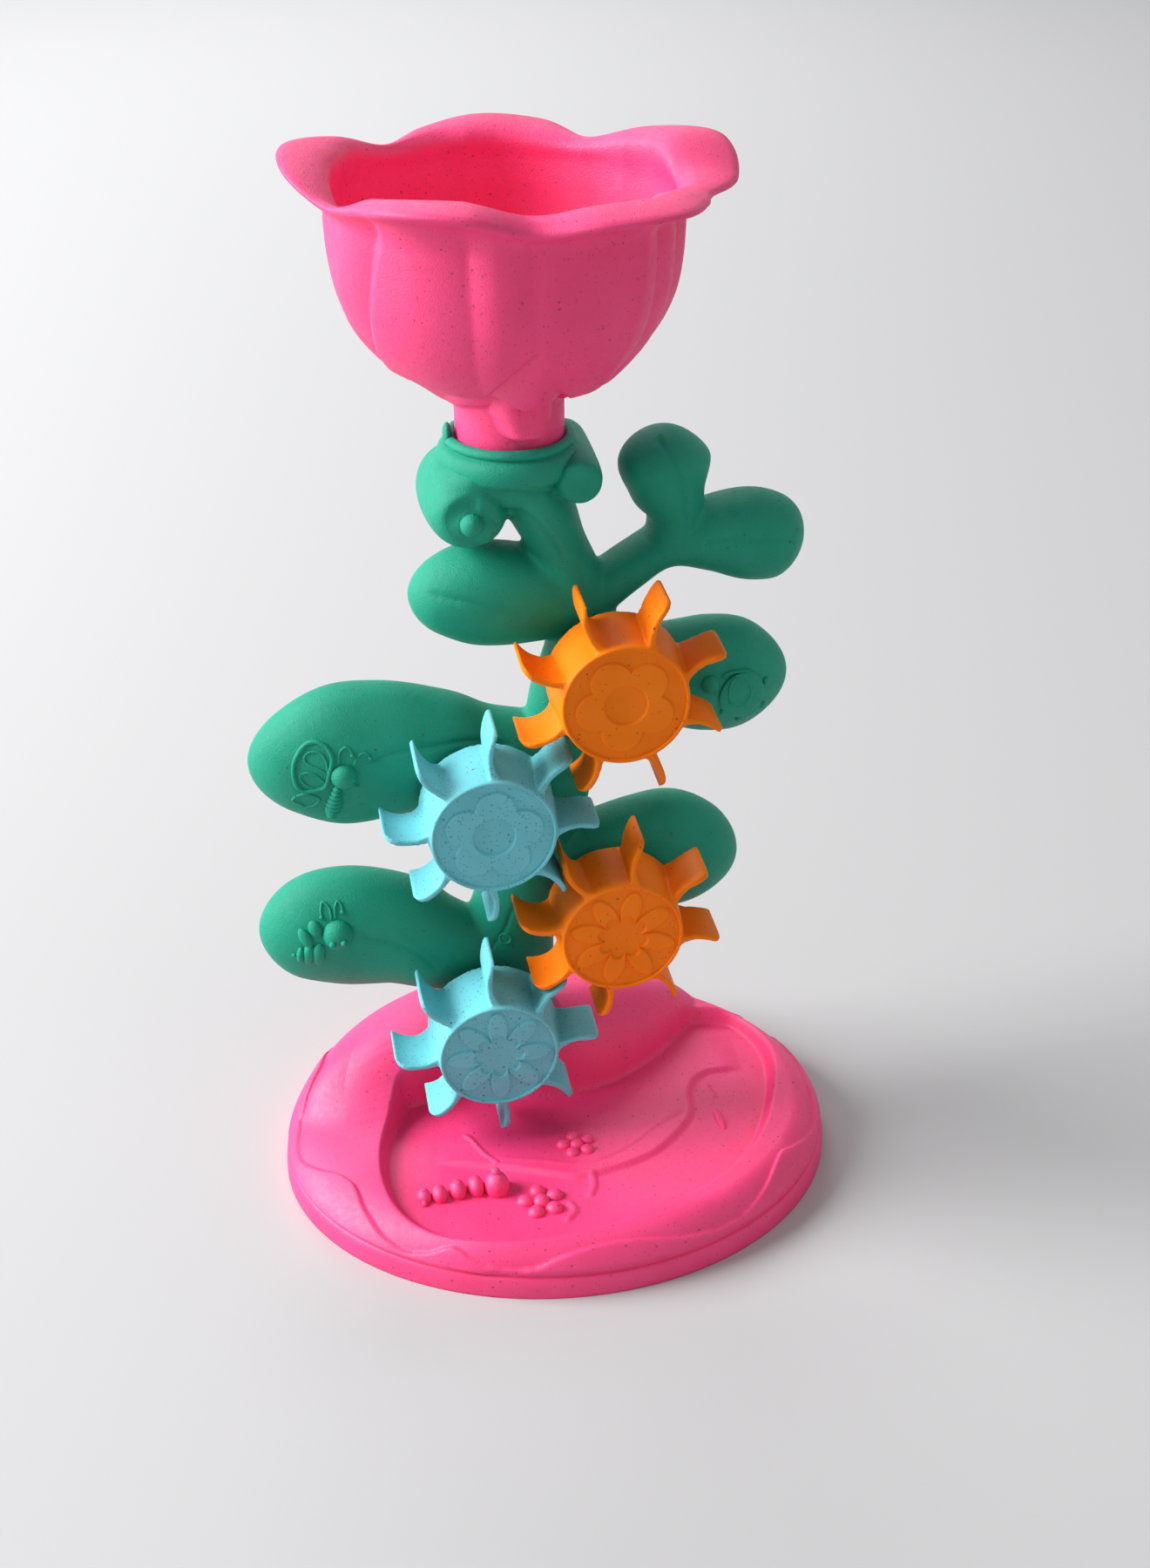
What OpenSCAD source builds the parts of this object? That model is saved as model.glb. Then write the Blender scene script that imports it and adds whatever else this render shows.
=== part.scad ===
// Flower sand wheel: a funnel, a moulded stem and four paddle wheels over an oval pond base.
// Millimetres. X to the right, Y to the back, Z up. The origin is the centre of the
// base's oval outline, on the ground.

/* [Base] */
// Width of the oval base
base_w = 226; // [190:1:260]
// Depth of the oval base
base_d = 188; // [180:1:220]
// Height of the upright skirt round the base
skirt_h = 9; // [6:0.5:12]
// How far the skirt leans in from bottom to top
skirt_lean = 2.4; // [1:0.1:4]
// Height of the rounded bank above the skirt
bank_h = 13; // [12:0.5:16]
// How far the bank's curve reaches in
bank_w = 8; // [6:0.5:11]
// Height of the hill's top above the ground
hill_z = 52; // [48:0.5:53]
// Height of the pond's floor above the ground
pond_floor_z = 15; // [12:0.5:18]
// How far the pond's wall slopes in from the bank to the floor
pond_slope = 4.5; // [3:0.5:6]

/* [Stem] */
// Height of the collar's top above the ground
stem_h = 308; // [300:1:330]
// Distance of the stem's middle plane behind the base's centre
stem_y = 26; // [24:0.5:28]
// Depth of the stem at its scroll head
head_d = 46; // [40:1:50]
// Length of the plug under the stem, in the base
plug_len = 20; // [12:1:24]
// How far the plug is smaller than the foot, all round
plug_step = 2.5; // [2:0.5:4]
// Radius of the ball in the scroll
ball_r = 4.5; // [3:0.1:6]

/* [Collar and funnel neck] */
// Radius of the funnel's neck
neck_r = 19.7; // [18:0.1:21]
// Wall of the collar at its top
collar_wall = 3; // [2:0.1:4]
// Height of the collar's ring, with its groove and bead
collar_h = 9.5; // [8:0.5:12]
// How far the bead stands out from the collar
bead_out = 1.8; // [1:0.1:2.5]
// How deep the neck goes into the collar
neck_depth = 18; // [12:1:22]

/* [Funnel] */
// Radius of the funnel's wall at the middle of a petal
cup_r = 62; // [54:0.5:68]
// How far the wall draws in at its folds
cup_crease = 3.2; // [1:0.1:6]
// Height of the cup above the neck
cup_h = 84; // [70:1:95]
// Height of the neck that shows above the collar
neck_show = 10; // [8:0.5:16]
// How far the lip flares out over a petal
lip_flare = 15; // [8:0.5:20]
// How far a petal's lip rises above the creases
lip_rise = 9; // [4:0.5:12]
// Wall of the funnel
funnel_wall = 3; // [2.4:0.1:4]
// Radius of the chute that feeds the wheels
chute_r = 3.5; // [3:0.1:3.8]
// Width of the spout's tongue at its top
spout_w = 21; // [18:0.5:24]
// How far the tongue stands out from the neck
spout_out = 8.5; // [8:0.5:10]

/* [Wheels] */
// Distance of a wheel's axis from the middle of the row
wheel_side = 24.7; // [24:0.1:27]
// Height of the lowest wheel's axis, as a share of the stem's height
wheel_low_share = 0.201299; // [0.198:0.000001:0.208]
// Height from one wheel's axis to the next, as a share of the stem's height
wheel_rise_share = 0.166234; // [0.163:0.000001:0.174]
// Radius of the wheel's face
face_r = 24; // [22:0.5:25]
// Length of the wheel along its axis
wheel_len = 26.4; // [24:0.2:28]
// How far the drum widens from the face to the back
drum_taper = 2; // [1:0.1:3]
// Wall of the drum and thickness of its face
drum_wall = 2.2; // [1.8:0.1:2.6]
// Width of the raised ring round the face
ring_w = 2; // [1.5:0.1:3]
// Height of the raised ring and of the flower relief
relief_h = 0.9; // [0.5:0.1:1.2]
// Radius of the paddles' tips at the back
paddle_r = 41; // [38:0.5:41]
// Thickness of a paddle
paddle_t = 2.2; // [1.6:0.1:2.6]
// How far a paddle's scoop is hollowed
scoop = 2.3; // [1.5:0.1:3]

/* [Axles] */
// Radius of the axle pins
pin_r = 4; // [3.5:0.1:4.5]
// Radius of the pin's head
pin_head_r = 7.5; // [6.5:0.5:9]
// Thickness of the pin's head
pin_head_t = 3; // [2:0.5:4]
// How far the snap ring stands out from the pin
snap_out = 0.6; // [0.4:0.1:0.8]
// Outer radius of the wheel's hub and of the stem's bosses
hub_r = 8; // [7.5:0.1:8.5]
// Running gap between a wheel's back and the stem's boss
wheel_gap = 0.6; // [0.5:0.1:1]

/* [Fits] */
// Clearance round an axle pin, on the radius
running_fit = 0.06; // [0.03:0.01:0.1]
// Clearance round the funnel's neck, on the radius
neck_fit = 0.08; // [0.04:0.01:0.1]
// Clearance round the stem's plug
plug_fit = 0.15; // [0.1:0.05:0.25]

/* [Hidden] */
$fn = 64;
cut = 1;

// Where the four wheels sit, from the top down, and how far each is turned
row_x = -0.005 * base_w;
paddles = 8;
wheel_turns = [21, -3, 33, 1.5];

function wheel_x(i) = row_x + (i % 2 == 0 ? wheel_side : -wheel_side);
function wheel_z(i) = (wheel_low_share + (3 - i) * wheel_rise_share) * stem_h;

boss_half = head_d / 2 - wheel_gap * 6;
wheel_back_y = stem_y - boss_half - wheel_gap;

oval_sides = 72;
bank_steps = 5;
bank_power = 2.8;
bank_z = skirt_h + bank_h;

// The pond's lip and the hill's foot, seen from above, as shares of the base's half sizes
lip_shares = [
    [-0.50, 0.20], [-0.63, -0.05], [-0.672, -0.33], [-0.63, -0.58], [-0.50, -0.755],
    [-0.30, -0.848], [-0.05, -0.86], [0.22, -0.785], [0.48, -0.64], [0.68, -0.41],
    [0.80, -0.12], [0.855, 0.19], [0.79, 0.46], [0.66, 0.54], [0.42, 0.50], [-0.10, 0.30]
];
hill_shares = [
    [-0.45, 0.16], [-0.22, 0.115], [0.06, 0.105], [0.22, 0.14], [0.39, 0.27], [0.55, 0.46],
    [0.66, 0.60], [0.60, 0.76], [0.36, 0.90], [0.02, 0.965], [-0.36, 0.90], [-0.68, 0.70],
    [-0.88, 0.42], [-0.95, 0.17], [-0.86, 0.02], [-0.66, 0.09]
];
outline_steps = 4;
hill_ring_shares = [1, 0.985, 0.955, 0.91, 0.85, 0.77, 0.67, 0.55, 0.42, 0.27, 0.12];
back_power = 0.47;
front_power = 0.62;
peak_x_share = -0.16;
peak_y_share = 0.28;

// Stations along each limb of the stem: place across and up, and half width, as shares
// of the stem's height, then half depth as a share of the head's depth
trunk_shares = [
    [-0.117, 0.938, 0.026, 0.44], [-0.078, 0.958, 0.029, 0.48], [-0.030, 0.942, 0.036, 0.49],
    [-0.003, 0.902, 0.040, 0.46], [0.018, 0.852, 0.035, 0.38], [0.037, 0.808, 0.035, 0.33],
    [0.052, 0.760, 0.039, 0.31], [0.042, 0.698, 0.042, 0.31], [0.026, 0.643, 0.044, 0.30],
    [0.019, 0.584, 0.044, 0.30], [0.016, 0.519, 0.044, 0.29], [-0.003, 0.455, 0.047, 0.28],
    [-0.026, 0.390, 0.052, 0.27], [-0.045, 0.325, 0.058, 0.26], [-0.052, 0.260, 0.063, 0.26]
];
leaf_shares = [
    [[0.039, 0.767, 0.039, 0.30], [-0.019, 0.784, 0.062, 0.36], [-0.081, 0.791, 0.065, 0.38],
        [-0.130, 0.794, 0.048, 0.31], [-0.164, 0.798, 0, 0]],
    [[0.045, 0.767, 0.031, 0.28], [0.104, 0.811, 0.027, 0.27], [0.150, 0.839, 0.027, 0.29],
        [0.201, 0.848, 0.045, 0.33], [0.253, 0.845, 0.057, 0.36], [0.295, 0.835, 0.050, 0.31],
        [0.321, 0.828, 0, 0]],
    [[0.147, 0.826, 0.025, 0.26], [0.160, 0.878, 0.033, 0.28], [0.152, 0.917, 0.048, 0.33],
        [0.147, 0.952, 0.055, 0.35], [0.146, 0.990, 0, 0]],
    [[0.032, 0.694, 0.036, 0.28], [0.091, 0.681, 0.046, 0.32], [0.156, 0.665, 0.067, 0.37],
        [0.208, 0.658, 0.077, 0.39], [0.256, 0.655, 0.071, 0.35], [0.312, 0.652, 0, 0]],
    [[0.026, 0.575, 0.037, 0.28], [-0.071, 0.572, 0.062, 0.33], [-0.136, 0.581, 0.080, 0.37],
        [-0.201, 0.585, 0.093, 0.39], [-0.263, 0.583, 0.095, 0.39], [-0.325, 0.581, 0.068, 0.31],
        [-0.372, 0.581, 0, 0]],
    [[0.000, 0.421, 0.036, 0.27], [0.055, 0.415, 0.051, 0.31], [0.110, 0.408, 0.074, 0.37],
        [0.159, 0.402, 0.085, 0.39], [0.208, 0.392, 0.070, 0.34], [0.256, 0.379, 0, 0]],
    [[-0.045, 0.252, 0.042, 0.25], [-0.110, 0.272, 0.061, 0.31], [-0.153, 0.290, 0.069, 0.35],
        [-0.201, 0.314, 0.080, 0.38], [-0.266, 0.327, 0.085, 0.39], [-0.328, 0.330, 0.071, 0.33],
        [-0.377, 0.333, 0, 0]]
];
limb_sides = 16;
limb_steps = 2;
tip_steps = 6;
tip_share = 0.06;
scroll_centre_shares = [-0.093, 0.915];
scroll_shares = [0.028, 0.036, 0.046, 0.052, 0.052, 0.046, 0.036];
curl_centre_shares = [0.035, 0.952];
curl_shares = [0.021, 0.026, 0.029, 0.030, 0.030, 0.029, 0.025];
scroll_depth_shares = [-0.5, -0.46, -0.3, 0, 0.3, 0.46, 0.5];
foot_x = trunk_shares[14][0] * stem_h;
seat_z = hill_z;
foot_half_w = trunk_shares[14][2] * stem_h;
foot_half_d = trunk_shares[14][3] * head_d;

// The funnel stands over the collar
neck_x = -0.037 * stem_h;
cup_z = stem_h + neck_show;
petals = 5;
cup_sides = 12 * petals;
first_crease = -90;

// Outline of the cup's wall: height as a share of cup_h, radius as a share of cup_r,
// and how much of the crease shows
wall_shares = [
    [0.02, 0.35, 0], [0.095, 0.50, 0.2], [0.20, 0.67, 0.6], [0.36, 0.84, 0.8],
    [0.53, 0.94, 0.9], [0.69, 0.985, 1], [0.84, 1, 1], [0.93, 1.005, 1.1]
];
// The lip, round from the first crease in quarters of a petal: how far it flares and how
// high its rim is, as shares of lip_flare and lip_rise, then how high its inner edge
// stands above the rim, as shares of its thickness
lip_flare_shares = [
    0.28, 0.90, 1.23, 0.80, 0.53, 1.21, 1.47, 0.84, 0.17, 0.91,
    0.77, 0.41, 0.05, 0.38, 0.95, 0.79, 0.26, 0.21, 0.80, 0.73
];
lip_rise_shares = [
    0.03, 0.38, 0.43, 0.21, -0.10, -0.06, 0.82, 0.73, 0.17, 0.50,
    0.76, 0.52, 0.21, 0.92, 1.12, 0.77, 0.00, 0.29, 0.76, 0.69
];
lip_crest_shares = [
    1.3, 1.0, 0.7, 0.8, 0.5, 0.6, 0.4, 0, 0, -0.3,
    -0.5, -0.3, 0, -0.5, -0.7, -0.8, -0.4, 0.7, 0.5, 0.8
];
// Where the wall folds in, in degrees round from the first crease
fold_angles = [66, 126, 186, 246, 300, 336];
fold_reach = 12;

// Smooth curve through a, b, c and d, at share t of the way from b to c
function between(a, b, c, d, t) =
    (2 * b + (c - a) * t + (2 * a - 5 * b + 4 * c - d) * t * t
    + (3 * b - a - 3 * c + d) * t * t * t) / 2;

// Smooth closed curve through a loop of points
function smooth_loop(p, steps) = [
    for (i = [0 : len(p) - 1], k = [0 : steps - 1])
        between(p[(i + len(p) - 1) % len(p)], p[i], p[(i + 1) % len(p)],
            p[(i + 2) % len(p)], k / steps)
];

// Points of an oval with the given half sizes
function oval(half_w, half_d, sides) = [
    for (k = [0 : sides - 1])
        [half_w * cos(360 * k / sides), half_d * sin(360 * k / sides)]
];

// Closed skin over a stack of rings with equal numbers of points
module loft(rings) {
    n = len(rings[0]);
    m = len(rings);
    polyhedron(
        points = [for (ring = rings) each ring],
        faces = [
            [for (k = [0 : n - 1]) k],
            for (j = [0 : m - 2], k = [0 : n - 1])
                each [
                    [j * n + k, (j + 1) * n + k, (j + 1) * n + (k + 1) % n],
                    [j * n + k, (j + 1) * n + (k + 1) % n, j * n + (k + 1) % n]
                ],
            [for (k = [n - 1 : -1 : 0]) (m - 1) * n + k]
        ],
        convexity = 6
    );
}

// The base

function level_oval(inset, z) = [
    for (p = oval(base_w / 2 - inset, base_d / 2 - inset, oval_sides)) [p[0], p[1], z]
];

// A quarter round, made squarer
function bank_curve(share) = pow(share, 2 / bank_power);

// A closed outline given in shares of the base, moved in by a width
function pond_ring(inset, z) = [
    for (p = smooth_loop(lip_shares, outline_steps))
        [p[0] * (base_w / 2 - inset) + inset * 0.1, p[1] * (base_d / 2 - inset) - inset * 0.2, z]
];

module pond_cut() {
    depth = bank_z - pond_floor_z;
    loft([
        pond_ring(pond_slope * 1.5, pond_floor_z),
        pond_ring(pond_slope, pond_floor_z + depth * 0.1),
        pond_ring(pond_slope * 0.6, pond_floor_z + depth * 0.4),
        pond_ring(0, bank_z - depth * 0.15),
        pond_ring(-pond_slope, bank_z + depth * 0.25)
    ]);
}

// The hill steepens towards its foot, more so at the back than over the pond
function hill_ring(share) = [
    for (p = smooth_loop(hill_shares, outline_steps))
        let (
            facing = max(0, min(1, (peak_y_share - p[1]) / 0.3)),
            power = back_power + (front_power - back_power) * facing
        )
            [
                (peak_x_share + (p[0] - peak_x_share) * share) * base_w / 2,
                (peak_y_share + (p[1] - peak_y_share) * share) * base_d / 2,
                skirt_h + (hill_z - skirt_h) * pow(1 - share * share, power)
            ]
];

module foot_column(half_w, half_d, low, high) {
    translate([foot_x, stem_y, low])
        linear_extrude(high - low) polygon(oval(half_w, half_d, limb_sides * 2));
}

module base() {
    color("hotpink")
        difference() {
            union() {
                difference() {
                    loft([
                        level_oval(0, 0),
                        for (k = [0 : bank_steps])
                            level_oval(
                                skirt_lean + bank_w * (1 - bank_curve(cos(90 * k / bank_steps))),
                                skirt_h + bank_h * bank_curve(sin(90 * k / bank_steps))
                            )
                    ]);
                    pond_cut();
                }
                loft([for (share = hill_ring_shares) hill_ring(share)]);
                // A raised seat for the stem's foot
                foot_column(
                    foot_half_w + plug_step, foot_half_d + plug_step,
                    (skirt_h + pond_floor_z) / 2, seat_z
                );
            }
            foot_column(
                foot_half_w - plug_step + plug_fit, foot_half_d - plug_step + plug_fit,
                seat_z - plug_len, seat_z + cut
            );
            foot_column(foot_half_w + plug_step, foot_half_d + plug_step, seat_z, seat_z + cut);
        }
}

// The stem

// Smooth rows along a limb; widths and depths run as squares, which rounds the tip
function limb_rows(p) =
    let (q = [for (s = p) [s[0], s[1], s[2] * s[2], s[3] * s[3]]], last = len(q) - 1)
    let (closing = p[last][2] == 0)
    [
        for (i = [0 : last - 1])
            let (steps = closing && i == last - 1 ? tip_steps : limb_steps)
                for (k = [0 : steps - 1])
                    let (t = steps == tip_steps ? 1 - pow(1 - k / steps, 2) : k / steps)
                        between(q[max(i - 1, 0)], q[i], q[i + 1], q[min(i + 2, last)], t),
        closing ? [q[last][0], q[last][1], pow(tip_share, 2) * q[last - 1][2],
            pow(tip_share, 2) * q[last - 1][3]] : q[last]
    ];

function limb_ring(rows, j) =
    let (
        ahead = rows[min(j + 1, len(rows) - 1)],
        back = rows[max(j - 1, 0)],
        run = [ahead[0] - back[0], ahead[1] - back[1]],
        side = [-run[1], run[0]] / norm(run),
        half_w = sqrt(max(rows[j][2], 0)),
        half_d = sqrt(max(rows[j][3], 0))
    )
    [
        for (k = [0 : limb_sides - 1])
            let (a = 360 * (k + 0.5) / limb_sides)
                [
                    (rows[j][0] + side[0] * half_w * cos(a)) * stem_h,
                    -half_d * sin(a),
                    (rows[j][1] + side[1] * half_w * cos(a)) * stem_h
                ]
    ];

// One limb, drawn one unit deep
module limb(stations) {
    rows = limb_rows(stations);
    loft([for (j = [0 : len(rows) - 1]) limb_ring(rows, j)]);
}

// A rolled end, drawn one unit deep: rings of the given radii from front to back
module rolled_end(centre, radii) {
    loft([
        for (j = [0 : len(radii) - 1])
            [
                for (k = [0 : limb_sides * 2 - 1])
                    let (a = 180 * k / limb_sides)
                        [
                            (centre[0] + radii[j] * cos(a)) * stem_h,
                            scroll_depth_shares[j],
                            (centre[1] - radii[j] * sin(a)) * stem_h
                        ]
            ]
    ]);
}

// Trunk, leaves and rolled ends as one moulded skin, brought to the head's depth
module plant() {
    translate([0, stem_y, 0])
        resize([0, head_d, 0])
            union() {
                limb(trunk_shares);
                for (leaf = leaf_shares) limb(leaf);
                rolled_end(scroll_centre_shares, scroll_shares);
                rolled_end(curl_centre_shares, curl_shares);
            }
}

module collar() {
    outer = neck_r + neck_fit + collar_wall;
    translate([neck_x, stem_y, stem_h])
        rotate_extrude()
            polygon([
                [0, -neck_depth - collar_wall * 2],
                [outer * 0.8, -neck_depth - collar_wall * 2],
                [outer, -collar_h - collar_wall],
                [outer, -collar_h],
                [outer + bead_out, -collar_h + bead_out],
                [outer + bead_out, -collar_h / 2 - bead_out / 2],
                [outer, -collar_h / 2],
                [outer - bead_out / 3, -collar_h / 2 + bead_out / 3],
                [outer, -collar_h / 2 + bead_out],
                [outer, 0],
                [0, 0]
            ]);
}

// Lays what is drawn along Z down on a wheel's axis, so that Z runs to the front
module on_axis(i, y) {
    translate([wheel_x(i), y, wheel_z(i)])
        rotate([90, 0, 0]) children();
}

module stem() {
    color("seagreen")
        difference() {
            union() {
                plant();
                collar();
                for (i = [0 : 3])
                    on_axis(i, stem_y + boss_half) cylinder(r = hub_r, h = 2 * boss_half);
                foot_column(foot_half_w, foot_half_d, seat_z, trunk_shares[14][1] * stem_h);
                foot_column(
                    foot_half_w - plug_step, foot_half_d - plug_step,
                    seat_z - plug_len, seat_z + cut
                );
                translate([
                    scroll_centre_shares[0] * stem_h,
                    stem_y - head_d / 2,
                    scroll_centre_shares[1] * stem_h
                ])
                    sphere(r = ball_r);
            }
            translate([neck_x, stem_y, stem_h - neck_depth])
                cylinder(r = neck_r + neck_fit, h = neck_depth + cut);
            for (i = [0 : 3])
                on_axis(i, stem_y + boss_half + cut)
                    cylinder(r = pin_r + running_fit, h = 2 * (boss_half + cut));
        }
}

// The funnel

lip_flares = smooth_loop(lip_flare_shares, cup_sides / len(lip_flare_shares));
lip_rises = smooth_loop(lip_rise_shares, cup_sides / len(lip_rise_shares));
lip_crests = smooth_loop(lip_crest_shares, cup_sides / len(lip_crest_shares));

// How far the wall is drawn in at an angle: a little between petals, more at a fold
function drawn_in(a) =
    (1 - abs(sin(petals * a / 2))) / 3
    + max([for (fold = fold_angles) max(0, 1 - abs(a - fold) / fold_reach)]);

// A ring of the cup: drawn in at the folds, flared and raised at the petals
function cup_ring(radius, crease, flare, z, rise, crest = 0) = [
    for (k = [0 : cup_sides - 1])
        let (
            a = 360 * k / cup_sides,
            r = radius - crease * drawn_in(a) + flare * lip_flares[k]
        )
            [
                r * cos(a + first_crease), r * sin(a + first_crease),
                z + rise * lip_rises[k] + crest * lip_crests[k]
            ]
];

module cup() {
    lip_z = cup_h - lip_rise;
    half = funnel_wall / 2;
    crease = cup_crease;
    loft([
        for (w = wall_shares)
            cup_ring(w[1] * cup_r, w[2] * crease, 0, w[0] * lip_z, 0),
        cup_ring(cup_r, crease * 0.7, lip_flare * 0.3, lip_z - funnel_wall, lip_rise * 0.7),
        cup_ring(cup_r, crease * 0.3, lip_flare * 0.75, lip_z - half, lip_rise * 0.9),
        cup_ring(cup_r, 0, lip_flare, lip_z - half / 3, lip_rise),
        cup_ring(cup_r, 0, lip_flare, lip_z + half * 0.7, lip_rise),
        cup_ring(cup_r - half, 0, lip_flare * 0.7, lip_z + half * 1.2, lip_rise, half),
        cup_ring(
            cup_r - half, crease * 0.5, lip_flare * 0.3, lip_z + half, lip_rise, funnel_wall
        ),
        cup_ring(
            cup_r - funnel_wall, crease * 0.8, 0, lip_z - half, lip_rise * 0.9, funnel_wall
        ),
        for (j = [len(wall_shares) - 1 : -1 : 1])
            let (w = wall_shares[j])
                cup_ring(w[1] * cup_r - funnel_wall, w[2] * crease, 0,
                    w[0] * lip_z + funnel_wall * (1 - w[0]), 0)
    ]);
}

// The tongue in front of the neck, and the fin that runs from it up the front crease
module spout() {
    reach = neck_r + spout_out;
    half_w = spout_w / 2;
    hull() {
        translate([0, -reach + half_w * 0.7, -neck_show * 0.7])
            cylinder(r = half_w * 0.7, h = neck_show * 0.2, $fn = 32);
        translate([0, -reach + half_w, -neck_show * 0.1])
            cylinder(r = half_w, h = neck_show * 0.4, $fn = 32);
        translate([0, -cup_r * 0.67, cup_h * 0.2]) sphere(r = funnel_wall, $fn = 16);
        translate([0, -cup_r * 0.8, cup_h * 0.38]) sphere(r = funnel_wall / 2, $fn = 16);
    }
}

module funnel() {
    color("deeppink")
        translate([neck_x, stem_y, cup_z])
            difference() {
                union() {
                    cup();
                    translate([0, 0, -neck_show - neck_depth])
                        cylinder(r = neck_r, h = neck_show + neck_depth + cup_h / 16);
                    spout();
                }
                translate([0, -neck_r - chute_r, -neck_show])
                    cylinder(r = chute_r, h = cup_h / 2);
            }
}

// The wheels

// A paddle's section: a curved strip from inside the drum's wall to past the tip
module paddle_strip() {
    root = face_r - drum_wall / 2;
    span = paddle_r - face_r;
    bend = span * span / (8 * scoop) + scoop / 2;
    intersection() {
        translate([face_r + span / 2, scoop - bend])
            difference() {
                circle(r = bend + paddle_t / 2);
                circle(r = bend - paddle_t / 2);
            }
        translate([root, -paddle_t])
            square([paddle_r - root + cut, scoop + 2 * paddle_t]);
    }
}

// The paddles' side view, spun round: straight front with a round corner, hollow back
module paddle_outline() {
    r = paddle_r - face_r;
    front = wheel_len - relief_h;
    rotate_extrude()
        polygon([
            [face_r / 2, 0],
            [face_r + drum_taper, 0],
            [face_r + r * 0.18, wheel_len * 0.07],
            [face_r + r * 0.35, wheel_len * 0.13],
            [face_r + r * 0.6, wheel_len * 0.12],
            [face_r + r * 0.85, wheel_len * 0.07],
            [paddle_r - paddle_t / 2, wheel_len * 0.01],
            [paddle_r, wheel_len * 0.04],
            [paddle_r - drum_taper * 0.6, front - r * 0.35],
            [paddle_r - drum_taper, front - r * 0.18],
            [paddle_r - drum_taper - r * 0.09, front - r * 0.07],
            [paddle_r - drum_taper - r * 0.2, front - r * 0.04],
            [face_r + r * 0.3, front - r * 0.06],
            [face_r, front - drum_wall / 2],
            [face_r / 2, front - drum_wall / 2]
        ]);
}

module drum() {
    difference() {
        rotate_extrude()
            polygon([
                [0, 0],
                [face_r + drum_taper, 0],
                [face_r, wheel_len - drum_wall],
                [face_r, wheel_len - relief_h / 2],
                [face_r - relief_h / 2, wheel_len],
                [face_r - ring_w, wheel_len],
                [face_r - ring_w, wheel_len - relief_h],
                [0, wheel_len - relief_h]
            ]);
        // Open back, with the hub left standing
        rotate_extrude()
            polygon([
                [hub_r, -cut],
                [face_r + drum_taper - drum_wall, -cut],
                [face_r + drum_taper - drum_wall, 0],
                [face_r - drum_wall, wheel_len - relief_h - drum_wall],
                [hub_r, wheel_len - relief_h - drum_wall]
            ]);
    }
}

// The hub's bore: a running hole, then a wider chamber for the pin's snap ring
module hub_bore() {
    depth = wheel_len - relief_h - drum_wall;
    translate([0, 0, -cut])
        cylinder(r = pin_r + running_fit, h = depth + cut - running_fit);
    translate([0, 0, depth - 2 * drum_wall])
        cylinder(r = pin_r + 2 * snap_out, h = 2 * drum_wall - running_fit);
}

module round_petals(count) {
    petal = (face_r - ring_w) * 0.32;
    difference() {
        for (k = [0 : count - 1])
            rotate(360 * k / count) translate([petal * 1.6, 0]) circle(r = petal);
        circle(r = petal * 0.95);
    }
}

module long_petals(count) {
    reach = face_r - ring_w;
    difference() {
        for (k = [0 : count - 1])
            rotate(360 * k / count)
                translate([reach * 0.58, 0])
                    polygon([
                        for (a = [0 : 30 : 330])
                            [reach * 0.34 * cos(a), reach * (0.16 + 0.03 * cos(a)) * sin(a)]
                    ]);
        for (k = [0 : count + 1])
            rotate(360 * k / (count + 2)) translate([reach * 0.3, 0]) circle(r = reach * 0.12);
        circle(r = reach * 0.32);
    }
}

module wheel(daisy) {
    difference() {
        union() {
            drum();
            intersection() {
                linear_extrude(wheel_len)
                    for (k = [0 : paddles - 1]) rotate(360 * k / paddles) paddle_strip();
                paddle_outline();
            }
            translate([0, 0, wheel_len - relief_h - drum_wall / 2])
                linear_extrude(drum_wall / 2 + relief_h * 0.7)
                    if (daisy) long_petals(8);
                    else round_petals(5);
        }
        hub_bore();
    }
}

module placed_wheel(i) {
    on_axis(i, wheel_back_y) rotate(wheel_turns[i]) wheel(i >= 2);
}

module wheel_top() { color("darkorange") placed_wheel(0); }

module wheel_second() { color("mediumturquoise") placed_wheel(1); }

module wheel_third() { color("darkorange") placed_wheel(2); }

module wheel_bottom() { color("mediumturquoise") placed_wheel(3); }

// The axle pins: a domed head behind the stem and a snap ring inside the wheel's hub
module axle_pin(i) {
    shank = 2 * boss_half + wheel_gap + wheel_len - relief_h - drum_wall - 2 * running_fit;
    on_axis(i, stem_y + boss_half)
        rotate_extrude()
            polygon([
                [0, -pin_head_t],
                [pin_head_r * 0.7, -pin_head_t],
                [pin_head_r * 0.93, -pin_head_t * 0.7],
                [pin_head_r, -pin_head_t * 0.3],
                [pin_head_r, 0],
                [pin_r, 0],
                [pin_r, shank - 1.8 * drum_wall],
                [pin_r + snap_out, shank - 1.5 * drum_wall],
                [pin_r - snap_out, shank - drum_wall / 2],
                [pin_r - snap_out, shank],
                [0, shank]
            ]);
}

module pin_top() { color("darkorange") axle_pin(0); }

module pin_second() { color("mediumturquoise") axle_pin(1); }

module pin_third() { color("darkorange") axle_pin(2); }

module pin_bottom() { color("mediumturquoise") axle_pin(3); }

base();
stem();
funnel();
wheel_top();
wheel_second();
wheel_third();
wheel_bottom();
pin_top();
pin_second();
pin_third();
pin_bottom();
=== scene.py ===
import math

import bmesh
import bpy
import numpy as np
from mathutils import Matrix, Vector
from mathutils.bvhtree import BVHTree


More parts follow.
